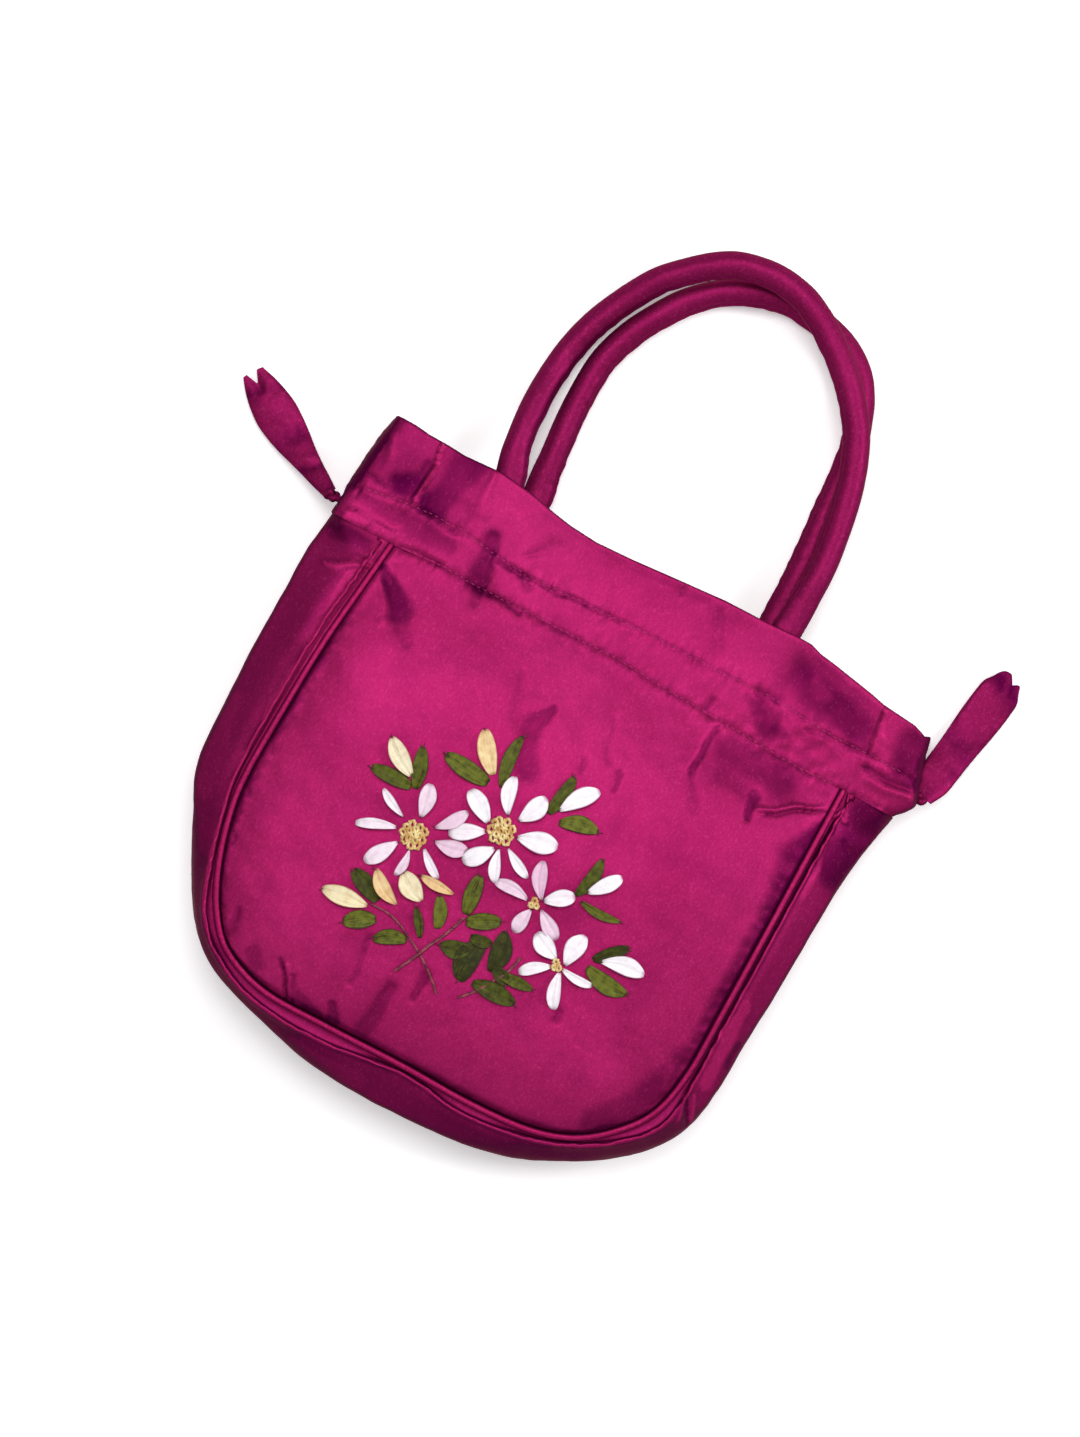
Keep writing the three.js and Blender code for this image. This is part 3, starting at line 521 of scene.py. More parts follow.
def front_cloth(x, y):
    """The relief of the whole front, panel, casing and collar, and the painted shade on it, below
    0 painted highlight.
    """
    height, shade = folds_at(x, y, FOLDS)
    stitch_height, stitch_shade = stitch_relief(x, y)
    height += stitch_height
    shade += stitch_shade
    height += 0.8 * wave(x, y, 26.0, 1.0) + 0.16 * wave(x + 0.4 * y, y, 8.0, 2.0)
    height += 0.05 * wave(x, y, 2.6, 4.0)
    # The drawstring's gathers crumple the right end of the casing, with mottles of painted shade
    # and painted highlight.
    crumple = hump(x - 58, 20) * hump(y + 3, 9)
    height += 0.7 * crumple * wave(x, y, 4.2, 81.0)
    shade += 0.6 * crumple * wave(x, y, 3.4, 82.0)
    # Soft random patches of plum all over, painted shade on the left end of the collar, and a
    # little more plum everywhere.
    shade += 0.2 * wave(x, y, 15.0, 71.0) + 0.12 * wave(x, y, 5.0, 72.0)
    shade += 0.4 * (1 - smooth(x, -98.0, -60.0)) * smooth(y, 6.0, 12.0) + 0.04
    across = max(0.0, 1 - abs(x / (PANEL_WIDTH / 2)) ** 4)
    height += CASING_CROWN * across * (1 - smooth(y, -6.0, 24.0))
    return height, shade


def panel_side(row):
    """A point of the panel's edge beside the seam."""
    place, outward, _, rise = seam_at(row)
    place = place - outward * SEAM_REACH
    return Vector((place.x, place.y, rise))


def panel_top(share):
    """A point of the panel's edge below the casing, from left to right."""
    place = casing_foot + casing_along * ((2 * share - 1) * (casing_half - SEAM_REACH))
    stitches = line_height(LOWER_STITCHES, place.x)
    inside = smooth(min(share, 1 - share), 0.0, 0.06)
    return Vector((place.x, place.y + (stitches - place.y) * inside, MOUTH_RISE))


panel_edges = {}


def on_panel_edge(row):
    """panel_side, worked out once for each row that the grid asks for."""
    key = round(row, 5)
    if key not in panel_edges:
        panel_edges[key] = panel_side(row)
    return panel_edges[key]


def panel_patch(u, v):
    """The panel's plain surface between its four edges. v runs from the casing to the foot."""
    left = on_panel_edge(LEFT_CORNER * v)
    right = on_panel_edge(LAST_ROW + (RIGHT_CORNER - LAST_ROW) * v)
    foot = on_panel_edge(LEFT_CORNER + (RIGHT_CORNER - LEFT_CORNER) * u)
    corners = (panel_top(0) * (1 - u) + panel_top(1) * u) * (1 - v)
    corners += (on_panel_edge(LEFT_CORNER) * (1 - u) + on_panel_edge(RIGHT_CORNER) * u) * v
    return left * (1 - u) + right * u + panel_top(u) * (1 - v) + foot * v - corners


def panel_point(u, v):
    """A point of the swelled front, with its folds, and the painted shade on it."""
    v = 1 - v
    point = panel_patch(u, v)
    across = 1 - abs(2 * u - 1) ** 4
    down = (1 - max(0.0, 2 * v - 1) ** 5) * smooth(v, -0.02, 0.36)
    point.z += PANEL_CROWN * across * down
    from_side = min(u, 1 - u) * PANEL_WIDTH
    from_foot = (1 - v) * PANEL_HEIGHT
    from_seam = min(from_side, from_foot)
    inside = smooth(from_seam, 0.0, 6.0)
    height, shade = front_cloth(point.x, point.y)
    along = point.y if from_side < from_foot else point.x
    gathers = ripple(along / 2.4, from_seam / 9.0, 11.0)
    point.z += height * inside + 0.45 * hump(from_seam - 2.5, 2.2) * gathers
    point.z -= 0.5 * hump(from_seam, 0.7)
    # Painted shade along the seam's edge and in the gathers beside it.
    shade += 0.3 * (1 - smooth(from_seam, 0.2, 1.6)) + 0.2 * gathers * hump(from_seam - 3, 2.5)
    # The left edge turns down into its seam, with a band of painted shadow.
    from_left = u * PANEL_WIDTH
    turned = (1 - smooth(from_left + 2.4 * gathers, 2.0, 3.6)) * smooth(v, 0.1, 0.3)
    shade += 0.5 * turned * (1 - smooth(v, 0.75, 0.95))
    return point + CASING_MIDDLE, shade


def cloth_grid(across, down, place, ring=False):
    """A grid of cloth. place(u, v) gives each point and the painted shade that its folds bring.

    A ring is joined where its two sides meet.
    """
    bm = bmesh.new()
    crease = bm.verts.layers.float.new("crease")
    bmesh.ops.create_grid(bm, x_segments=across, y_segments=down, size=0.5)
    for vert in bm.verts:
        vert.co, vert[crease] = place(vert.co.x + 0.5, vert.co.y + 0.5)
    if ring:
        bmesh.ops.remove_doubles(bm, verts=bm.verts, dist=0.002)
        bmesh.ops.recalc_face_normals(bm, faces=bm.faces)
    return bm


SHARP = math.radians(62)  # an edge that turns more than this shows as an edge


def new_piece(name, bm, material, slot, *nodes):
    """Makes a mesh in millimetres into a piece of the bag that stands for those nodes.

    Slopes get painted shade: each point's tilt is added to the painted shade that its folds bring.
    """
    layers = bm.verts.layers.float
    crease = layers.get("crease") or layers.new("crease")
    bm.normal_update()
    for vert in bm.verts:
        vert.co *= MM
        vert[crease] += 1 - smooth(abs(vert.normal.z), 0.35, 0.985)
    mesh = bpy.data.meshes.new(name)
    bm.to_mesh(mesh)
    bm.free()
    mesh.shade_smooth()
    mesh.set_sharp_from_angle(angle=SHARP)
    mesh.materials.append(material)
    piece = bpy.data.objects.new(name, mesh)
    scene.collection.objects.link(piece)
    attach(piece, "root")
    if nodes:
        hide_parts(*nodes)
    return piece


def thicken(piece, thickness):
    """Gives a cloth its thickness, on the side away from its outer face."""
    solid = piece.modifiers.new("thickness", "SOLIDIFY")
    solid.thickness = thickness * MM
    solid.offset = -1.0
    graph = bpy.context.evaluated_depsgraph_get()
    mesh = bpy.data.meshes.new_from_object(piece.evaluated_get(graph))
    mesh.set_sharp_from_angle(angle=SHARP)
    piece.modifiers.clear()
    piece.data = mesh


bm = cloth_grid(230, 200, panel_point)
panel_tree = BVHTree.FromBMesh(bm)
front_panel = new_piece("satin_front", bm, body_satin, "satin", "front_panel")
thicken(front_panel, PANEL_WALL)


# The back panel
# The same shape cut again from satin over wadding, without embroidery, and sewn into its own
# piping. The bag's weight presses it flat on the table.
BACK_WALL = 1.4
TABLE_GAP = 0.06


def back_point(u, v):
    """A point of the back, flat but where its seam and its wrinkles lift it off the table."""
    point = panel_patch(u, 1 - v)
    from_seam = min(min(u, 1 - u) * PANEL_WIDTH, v * PANEL_HEIGHT)
    lift = 1.1 * (1 - smooth(from_seam, 0.0, 7.0))
    lift += 0.8 * max(0.0, wave(point.x, point.y, 22.0, 41.0) - 0.05)
    lift += 0.35 * max(0.0, wave(point.x, point.y, 6.0, 42.0))
    point.z = TABLE_GAP + lift
    # Painted shade beside the seam.
    return point + CASING_MIDDLE, 0.3 * hump(from_seam, 1.6)


bm = cloth_grid(150, 130, back_point)
bmesh.ops.reverse_faces(bm, faces=bm.faces)
back_panel = new_piece("satin_back", bm, body_satin, "satin", "back_panel")
thicken(back_panel, BACK_WALL)


# The gusset
# One strip of the same satin between the two panels. It folds outward past the front seam, with a
# creased edge beside the piping where its seam allowance stands up.
GUSSET_WALL = 1.0
ROW_LENGTH = 24.0  # mm of seam from one row of SEAM to the next, about
# The creased edge's distance from the seam, at the rows of SEAM.
RIDGE = (
    3.6, 3.6, 3.6, 3.4, 3, 2.2, 2.6, 3.8, 3.6, 4.2, 5,
    2.4, 4, 2.9, 2.4, 3.4, 4.6, 3, 2.6, 2.6, 2.7, 3.2,
)


def gusset_section(reach, rise, ridge, round_share):
    """The strip's section from the front to the back, as distance out and height.

    Under the casing it is half a round, and round_share goes from 1 there to 0.
    """
    creased = [
        (0.9, rise - 1.5),
        (1.6, rise - 1.9),
        (ridge - 0.9, rise - 1.5),
        (ridge - 0.25, rise - 0.5),
        (ridge + 0.35, rise - 0.45),
        (ridge + 1.2, rise - 1.4),
        (ridge + 0.35 * (reach - ridge), rise * 0.90),
        (ridge + 0.75 * (reach - ridge), rise * 0.78),
        (reach - 0.6, rise * 0.68),
        (reach, rise * 0.50),
        (reach - 0.6, rise * 0.27),
        (0.8 * reach, rise * 0.10),
        (0.5 * reach, 0.7),
        (0.8, 2.05),
    ]
    half = MOUTH_RISE / 2
    section = []
    for k, (out, height) in enumerate(creased):
        angle = math.radians(90 - 180 * max(0, k - 5) / 7.5)
        plain_out = reach - half + half * math.cos(angle) if k > 5 else out
        plain_height = half + half * math.sin(angle)
        if k == len(creased) - 1:
            plain_out = 1.2
            plain_height = 0.3
        out += (plain_out - out) * round_share
        height += (plain_height - height) * round_share
        section.append((out, height))
    return section


# Folds of the strip, in the form of FOLDS.
GUSSET_FOLDS = [
    (-101, -8.5, -88, -8.2, 3, 2.4, -0.3, 0.3),
    (-86.8, -8, -86, -12.5, 1.8, 0.8, 0.4, -0.5),
    (-104, -70, -99, -100, 2, 3.5, 0.4, -0.15),
    (-84, -140, -72, -147, 4, 4, -0.3, 0.35),
    (-40, -160, -14, -162, 1.5, 3, 0.4, -0.15),
    (-97, -19.8, -84.5, -12.8, 0.8, 2, 1, -0.9),
    (-89, -13.6, -84, -13, 0.5, 0.4, -0.4, 0.5),
    (-91, -18, -85, -14.6, 0.5, 0.5, -0.4, 0.45),
    (-88.6, -15.5, -89.6, -46, 2.5, 1.4, 0.2, -0.8),
    (-90.6, -46, -92, -72, 1.5, 0.8, 0.1, -0.6),
    (84.3, -9, 87.2, -17.6, 0.4, 0.5, 0.7, -0.6),
    (87.2, -18.2, 84.6, -16.4, 0.5, 0.4, 0.6, -0.6),
    (83.6, -15.6, 82.2, -19, 0.4, 0.4, 0.6, -0.5),
    (84.8, -24, 85.2, -46, 1, 0.9, 0.3, -0.45),
    (89, -23, 93.5, -27, 0.6, 0.6, -0.5, 0.2),
    (93, -10, 90, -34, 8, 7, -0.2, 0.64),
    (84.5, -85, 84.5, -112, 2.2, 2.4, 0.3, -0.5),
    (81, -118.5, 85, -126, 0.7, 0.8, -0.8, 0.5),
    (83.5, -117, 86, -124, 0.7, 0.7, 0.7, -0.4),
    (80.5, -120, 82, -126, 0.5, 0.5, 0.6, -0.4),
    (88, -97, 88.5, -104, 1, 1, -0.3, 0.3),
]


def gusset_point(u, v):
    """A point of the strip. u runs along the seam, and v from its back edge to its front one."""
    row = LAST_ROW * u
    place, outward, reach, rise = seam_at(row)
    ridge = curve(RIDGE, row)
    from_end = min(row, LAST_ROW - row)
    section = gusset_section(reach, rise, ridge, 1 - smooth(from_end, 0.0, 0.7))
    # The row of the section: 0 at the front seam, 3 and 4 on the creased edge, 9 furthest out.
    position = (len(section) - 1) * (1 - v)
    out, height = spline(section, position)
    length = ROW_LENGTH * row
    waves = 0.8 * ripple(length / 24.0, 6 * v, 8.0)
    waves += 0.3 * ripple(length / 6.0, 5 * v, 9.0)
    waves *= smooth(out, 3.0, 8.0) * smooth(height, 1.0, 5.0) * smooth(from_end, 0.0, 0.6)
    ruffle = ripple(length / 9.0, 0.0, 5.0)
    ruffle += 0.6 * ripple(length / 3.2, 0.0, 6.0)
    edge = 0.5 * ruffle * hump(position - 3.5, 1.3)
    out += 0.7 * ruffle * hump(position - 3.5, 1.0) * smooth(from_end, 0.0, 0.5)
    place = place + outward * (out + waves * 0.5)
    fold, shade = folds_at(place.x, place.y, GUSSET_FOLDS)
    if position > 9.5:
        fold = shade = 0.0
    # Painted shade in the valley beside the piping and on the strip's outer part, most on the left
    # side and the foot, which turn away from the window, least on the right side, which faces it;
    # painted highlight along the creased edge. Each number is a row of SEAM, or of the section.
    right = smooth(row, 15.4, 16.6)
    left = 1 - smooth(row, 6.0, 8.0)
    shade += 0.4 * hump(position - 1.2 + 0.5 * left, 1.2 - 0.4 * left)
    shade -= 0.3 * hump(position - 3.6, 0.5) + 0.7 * left * hump(position - 3.5, 1.3)
    turned = smooth(position + 0.7 * ruffle * left, 4.3, 5.0)
    shade += (0.5 - 0.28 * right) * turned * (1 - 0.6 * smooth(position, 6.0, 8.5))
    foot = smooth(row, 7.0, 9.0) * (1 - smooth(row, 14.0, 15.5))
    shade += 0.1 * foot * turned
    return on_bag(place.x, place.y, height + 0.6 * waves + edge + fold), shade


bm = cloth_grid(620, 66, gusset_point)
gusset = new_piece("satin_gusset", bm, body_satin, "satin", "gusset")
thicken(gusset, GUSSET_WALL)


# The piping
# A thin cord covered in a bias strip of the satin, and caught in each seam between a panel and
# the gusset, front and back.
PIPING_RADIUS = 1.1
PIPING_STEPS = 420


def tube(bm, points, sides, radius, closed=False):
    """Adds a tube along points in mm.

    Its radius is a number, or a function that gives the half width and the half height from a
    point's number and the angle round the tube.
    """
    count = len(points)
    made = bmesh.ops.create_grid(bm, x_segments=sides, y_segments=count - 1, size=0.5)
    frames = []
    for i, point in enumerate(points):
        ahead = points[(i + 1) % count if closed else min(i + 1, count - 1)]
        behind = points[i - 1 if closed or i > 0 else 0]
        travel = (ahead - behind).normalized()
        side = Vector((0, 0, 1)).cross(travel)
        side = side.normalized() if side.length > 1e-4 else Vector((1, 0, 0))
        frames.append((point, side, travel.cross(side)))
    for vert in made["verts"]:
        turn = 2 * math.pi * (vert.co.x + 0.5)
        i = round((vert.co.y + 0.5) * (count - 1))
        point, side, up = frames[i]
        wide, tall = radius(i, turn) if callable(radius) else (radius, radius)
        if not closed and i in (0, count - 1):
            wide = tall = 0.0
        vert.co = point + side * (wide * math.cos(turn)) + up * (tall * math.sin(turn))
    bmesh.ops.remove_doubles(bm, verts=made["verts"], dist=0.0005)


def tube_mesh(points, sides, radius, closed=False):
    """A mesh of one tube, its faces turned outward."""
    bm = bmesh.new()
    tube(bm, points, sides, radius, closed)
    bmesh.ops.recalc_face_normals(bm, faces=bm.faces)
    return bm


def rounded_ends(points, radius):
    """The points with one more at either end, where the tube closes."""
    start = (points[0] - points[1]).normalized() * radius
    end = (points[-1] - points[-2]).normalized() * radius
    return [points[0] + start, *points, points[-1] + end]


for name, in_front in (("front_piping", True), ("back_piping", False)):
    points = []
    for i in range(PIPING_STEPS + 1):
        place, _, _, rise = seam_at(LAST_ROW * i / PIPING_STEPS)
        points.append(on_bag(place.x, place.y, rise - 0.4 if in_front else 1.2))
    bm = tube_mesh(rounded_ends(points, 0.3), 14, PIPING_RADIUS)
    new_piece(name + "_cord", bm, piping_satin, "piping_satin", name)


# The band
# The casing and the collar are one doubled strip of satin round the mouth. Two stitch lines hold
# the drawstrings' channel, and the collar stands free above it.
# How far it reaches past the ends of the seam, at even steps from its foot to its top edge.
BAND_LEFT = (22, 22, 21.2, 20.3, 19)
BAND_RIGHT = (18.6, 22.8, 21.6, 19.2, 17)
BAND_LIFT = 32.0  # from its foot to its top edge
COLLAR_WALL = 1.6
CHANNEL_WALL = 4.6  # from the casing's outer face to its inner one
CHANNEL_LOW = 0.5
CHANNEL_HIGH = 11.6  # from the band's foot
# How far round the band's section its outer face, its top edge and its inner face end.
OUTER_END = 0.46
TOP_END = 0.52
INNER_END = 0.98
# The collar's top edge, x and y from left to right.
TOP_EDGE = [
    (-99, 32.3), (-93, 32), (-88, 31.3), (-81, 31), (-75, 30.5), (-62, 31),
    (-50, 29.3), (-43, 27.6), (-35, 26), (-25, 25), (-12, 25.3), (0, 26),
    (20, 27), (34.5, 26.8), (46, 27.2), (51, 27), (55, 25.6), (60, 24.8),
    (65, 23.8), (70, 22.8), (75, 21.8), (80, 20.5), (85, 19.9), (92, 19.1),
    (96.5, 17.5), (98.5, 18.4), (101, 16),
]


def flattened(value):
    """Squares the round ends of the loop, as the cloth lies there."""
    return math.copysign(abs(value) ** 0.6, value)


def band_loop(share, left_reach, right_reach, depth):
    """A place on the flattened loop, depth in from its face: across, height and outward."""
    half = MOUTH_RISE / 2
    left = casing_half + left_reach - half
    right = casing_half + right_reach - half
    flat = left + right
    turn = math.pi * half
    radius = half - depth
    run = share * 2 * (flat + turn)
    if run < flat:
        return -left + run, half + radius, 0.0, 1.0
    run -= flat
    if run < turn:
        angle = math.pi / 2 - run / half
        out = (math.cos(angle), math.sin(angle))
        return right + radius * flattened(out[0]), half + radius * flattened(out[1]), *out
    run -= turn
    if run < flat:
        return right - run, half - radius, 0.0, -1.0
    angle = math.pi * 1.5 - (run - flat) / half
    out = (math.cos(angle), math.sin(angle))
    return -left + radius * flattened(out[0]), half + radius * flattened(out[1]), *out


def band_place(share, rise, depth):
    """A point of the band: rise is 0 at its foot and 1 at its top edge, and depth is in mm."""
    left_reach = curve(BAND_LEFT, (len(BAND_LEFT) - 1) * rise)
    right_reach = curve(BAND_RIGHT, (len(BAND_RIGHT) - 1) * rise)
    across, height, out_x, out_z = band_loop(share, left_reach, right_reach, depth)
    foot = casing_foot + casing_along * across
    front = smooth(out_z, 0.2, 1.0)
    middle = front * smooth(PANEL_WIDTH / 2 - abs(foot.x), 0.0, 8.0)
    foot_y = foot.y + (line_height(LOWER_STITCHES, foot.x) - foot.y) * middle
    top_y = line_height(TOP_EDGE, foot.x)
    place = Vector((foot.x + casing_up.x * BAND_LIFT * rise, foot_y + (top_y - foot_y) * rise))
    return place, height, out_x, out_z, front


def band_point(u, v):
    """v runs up the outer face, over the top edge, down the inner face and back along the foot."""
    if v < OUTER_END:
        rise = v / OUTER_END
        depth = 0.0
    elif v < TOP_END:
        turn = math.pi * (v - OUTER_END) / (TOP_END - OUTER_END)
        rise = 1.0 + 0.025 * math.sin(turn)
        depth = COLLAR_WALL / 2 * (1 - math.cos(turn))
    elif v < INNER_END:
        rise = 1 - (v - TOP_END) / (INNER_END - TOP_END)
        lift = rise * BAND_LIFT
        channel = smooth(lift, CHANNEL_LOW, 2.2) * (1 - smooth(lift, 9.6, CHANNEL_HIGH))
        depth = COLLAR_WALL + (CHANNEL_WALL - COLLAR_WALL) * channel
    else:
        rise = 0.0
        depth = COLLAR_WALL * (1 - v) / (1 - INNER_END)
    place, height, out_x, out_z, front = band_place(u, rise, depth)
    lift = rise * BAND_LIFT
    outer = v <= TOP_END
    relief, shade = front_cloth(place.x, place.y)
    if out_z < -0.5:
        # The back lies on the table: it may only lift off it.
        height += 0.5 * max(0.0, wave(place.x, place.y, 9.0, 22.0)) if outer else 0.0
        relief = 0.0
        shade = 0.0
    elif front < 1:
        side = 0.7 * wave(place.y, height, 7.0, 21.0) + 0.35 * wave(place.y, height, 2.5, 23.0)
        relief = relief * front + side * (1 - front) * smooth(height, 1.0, 4.0)
        # Painted shade on the band's turned ends, more on the right one.
        shade += (0.3 if place.x > 0 else 0.05) * (1 - front)
    if not outer:
        relief *= 0.6 * smooth(lift, 12.0, 16.0)
    point = Vector((place.x + relief * out_x * casing_along.x, place.y, height))
    point.z += relief * max(0.0, out_z)
    return point + CASING_MIDDLE, shade


bm = cloth_grid(560, 96, band_point, ring=True)
band_tree = BVHTree.FromBMesh(bm)
top_band = new_piece("satin_band", bm, body_satin, "satin", "top_band")


# The stitches
# Two rows of machine stitches in matching thread along the casing, one at its foot and one below
# the collar. Each stitch is pulled a little into the satin.
STITCH_PITCH = 2.1
STITCH_LENGTH = 1.45
THREAD_RADIUS = 0.16
OVERHEAD = 80.0  # higher than everything on the front


def stitch(bm, start, end, radius):
    """One stitch: a slim bead of thread from start to end, in mm."""
    middle = (start + end) / 2
    travel = (end - start).normalized()
    side = Vector((0, 0, 1)).cross(travel).normalized()
    up = travel.cross(side)
    half = (end - start).length / 2
    made = bmesh.ops.create_uvsphere(bm, u_segments=6, v_segments=5, radius=1.0)
    for vert in made["verts"]:
        along = half * vert.co.z
        out = side * (radius * vert.co.x) + up * (radius * vert.co.y)
        vert.co = middle + travel * along + out


def cloth_height(x, y, trees=(panel_tree,)):
    """The height of the cloth at a place measured from the casing's middle, in mm."""
    hits = [tree.ray_cast(on_bag(x, y, OVERHEAD), Vector((0, 0, -1)))[0] for tree in trees]
    return max((hit.z for hit in hits if hit), default=MOUTH_RISE - 1)


thread = Finish("fuchsia_thread")
shine = thread.noise(thread.place(), 900.0)
thread_finish = thread.surface(
    Base_Color=thread.mix(shine, (0.36, 0.012, 0.11, 1.0), (0.6, 0.04, 0.22, 1.0)),
    Roughness=0.4 + 0.2 * shine,
    Metallic=0.3,
    Normal=thread.bump(shine, 0.0001, 0.4),
)
bm = bmesh.new()
stitch_draw = random.Random(5)
for rows, first, last in ((UPPER_STITCHES, -97.0, 97.0), (LOWER_STITCHES, -79.0, 79.0)):
    x = first
    while x + STITCH_LENGTH < last:
        ends = []
        slip = 0.35 + stitch_draw.uniform(-0.22, 0.22)
        for end_x in (x, x + STITCH_LENGTH * stitch_draw.uniform(0.8, 1.05)):
            end_y = line_height(rows, end_x) + slip
            height = cloth_height(end_x, end_y, (panel_tree, band_tree))
            ends.append(on_bag(end_x, end_y, height + 0.05))
        stitch(bm, *ends, THREAD_RADIUS)
        x += STITCH_PITCH
new_piece("casing_stitches", bm, thread_finish, "piping_satin")


# The drawstrings
# Two satin cords lie side by side in the casing. Each runs once round the mouth and leaves by one
# side fold, where a knot ties its ends.
CORD_RADIUS = 1.1
CORD_STEPS = 360
CORD_DEPTH = 2.6  # from the casing's outer face
CORD_ROW = 5.75  # from the band's foot to the middle between the two cords
CORD_ASIDE = 1.4  # from there to each cord
CORD_SPLIT = 1.25  # half the distance between a cord's ends at its knot
KNOT_RADIUS = 2.4
KNOTTED_RADIUS = 1.15  # of the cord in the knot
KNOT_SIZE = 0.58
KNOT_STEPS = 60
PLACES = 400  # the places round the mouth among which a cord's way out is found
# How far out of the casing each knot sits, and how far up, in mm.
KNOT_SHIFTS = {-1: (2.8, 0.0), 1: (0.8, 3.8)}


def cord_place(sign, share, depth):
    """A point of the cord's way round the casing: its place in plan, and its height."""
    return band_place(share, (CORD_ROW + CORD_ASIDE * sign) / BAND_LIFT, depth)[:2]


def find_knot(sign):
    """Where on the loop a cord leaves, and the centre of its knot."""

    def sideways(share):
        place, height = cord_place(sign, share, 0.0)
        return sign * place.x - abs(height - MOUTH_RISE / 2)

    share = max((k / PLACES for k in range(PLACES)), key=sideways)
    place = cord_place(sign, share, 0.0)[0]
    centre = on_bag(place.x, place.y, MOUTH_RISE / 2)
    out, up = KNOT_SHIFTS[sign]
    centre.xy += casing_along * (sign * out) + casing_up * up
    return share, centre


KNOTS = {sign: find_knot(sign) for sign in (-1, 1)}


def trefoil(centre):
    """The points of an overhand knot."""
    points = []
    for k in range(KNOT_STEPS):
        a = 2 * math.pi * k / KNOT_STEPS
        x = math.sin(a) + 2 * math.sin(2 * a)
        y = 1.5 * math.sin(3 * a)
        z = math.cos(a) - 2 * math.cos(2 * a)
        points.append(centre + Vector((x * KNOT_SIZE, y * KNOT_SIZE, z * KNOT_SIZE)))
    return points


for side, sign in (("left", -1), ("right", 1)):
    first, centre = KNOTS[sign]
    points = []
    for k in range(6, CORD_STEPS - 5):
        place, height = cord_place(sign, (first + k / CORD_STEPS) % 1.0, CORD_DEPTH)
        points.append(on_bag(place.x, place.y, height))
    inward = Vector((*(casing_along * -sign), 0.0))
    # Both ends come out of the casing into the knot, one above the other.
    for at, index in ((points[0], 0), (points[-1], len(points))):
        split = CORD_SPLIT if at.z > centre.z else -CORD_SPLIT
        outer = centre + inward * (KNOT_RADIUS - 0.4) + Vector((0, 0, split))
        near = centre + inward * (KNOT_RADIUS + 1.6) + Vector((0, 0, 1.3 * split))
        points[index:index] = [outer, near] if index == 0 else [near, outer]
    cord = tube_mesh(rounded_ends(points, 0.4), 10, CORD_RADIUS)
    knot = tube_mesh(trefoil(centre), 10, KNOTTED_RADIUS, closed=True)
    for name, bm in (("drawstring_" + side, cord), ("knot_" + side, knot)):
        new_piece(name + "_cord", bm, cord_satin, "cord_satin", name)


# The tabs
# A strip of the satin folded over and sewn to a flat petal, one on each knot. Its open end is cut
# to a fork and lies on the table.
TAB_LENGTH = 45.0
TAB_WIDTH = 14.5
TAB_WALL = 3.0
TAB_STEPS = 24
TAB_LIE = 1.8  # the height of its middle where it lies down
# The width of each tab at even steps along it, as a share of TAB_WIDTH.
LEFT_OUTLINE = (0.32, 0.44, 0.54, 0.67, 0.82, 0.93, 0.98, 0.9, 0.74, 0.5)
RIGHT_OUTLINE = (0.55, 0.8, 0.84, 0.85, 0.88, 0.93, 0.96, 0.96, 0.9, 0.62)
# The folds across each tab: how far along it in mm, half width, and painted shade, below 0 for
# painted highlight.
LEFT_FOLDS = [
    (2, 3, 0.4), (9.6, 1.8, 0.8), (13, 1.7, -0.6), (21, 3.5, 0.4), (30, 4, -0.6),
    (38.5, 2.2, 0.8),
]
RIGHT_FOLDS = [
    (6, 3, -0.5), (12, 1.4, 0.4), (18.5, 3.6, 0.65), (30.5, 4.6, -0.6), (41.5, 3.6, 1),
]
# Each tab: its side, its heading and how far it turns on its way, in degrees, its stretch, its
# outline, the place of its notch across it, from -1 to 1, how deep the notch is and how far its
# corners are rounded off, in mm, and its folds.
TABS = {
    "tab_left": (-1, 149.5, -10, 1.02, LEFT_OUTLINE, 0.1, 4.4, 0.3, LEFT_FOLDS),
    "tab_right": (1, 79, 4, 1.07, RIGHT_OUTLINE, -0.4, 2.8, 2.6, RIGHT_FOLDS),
}


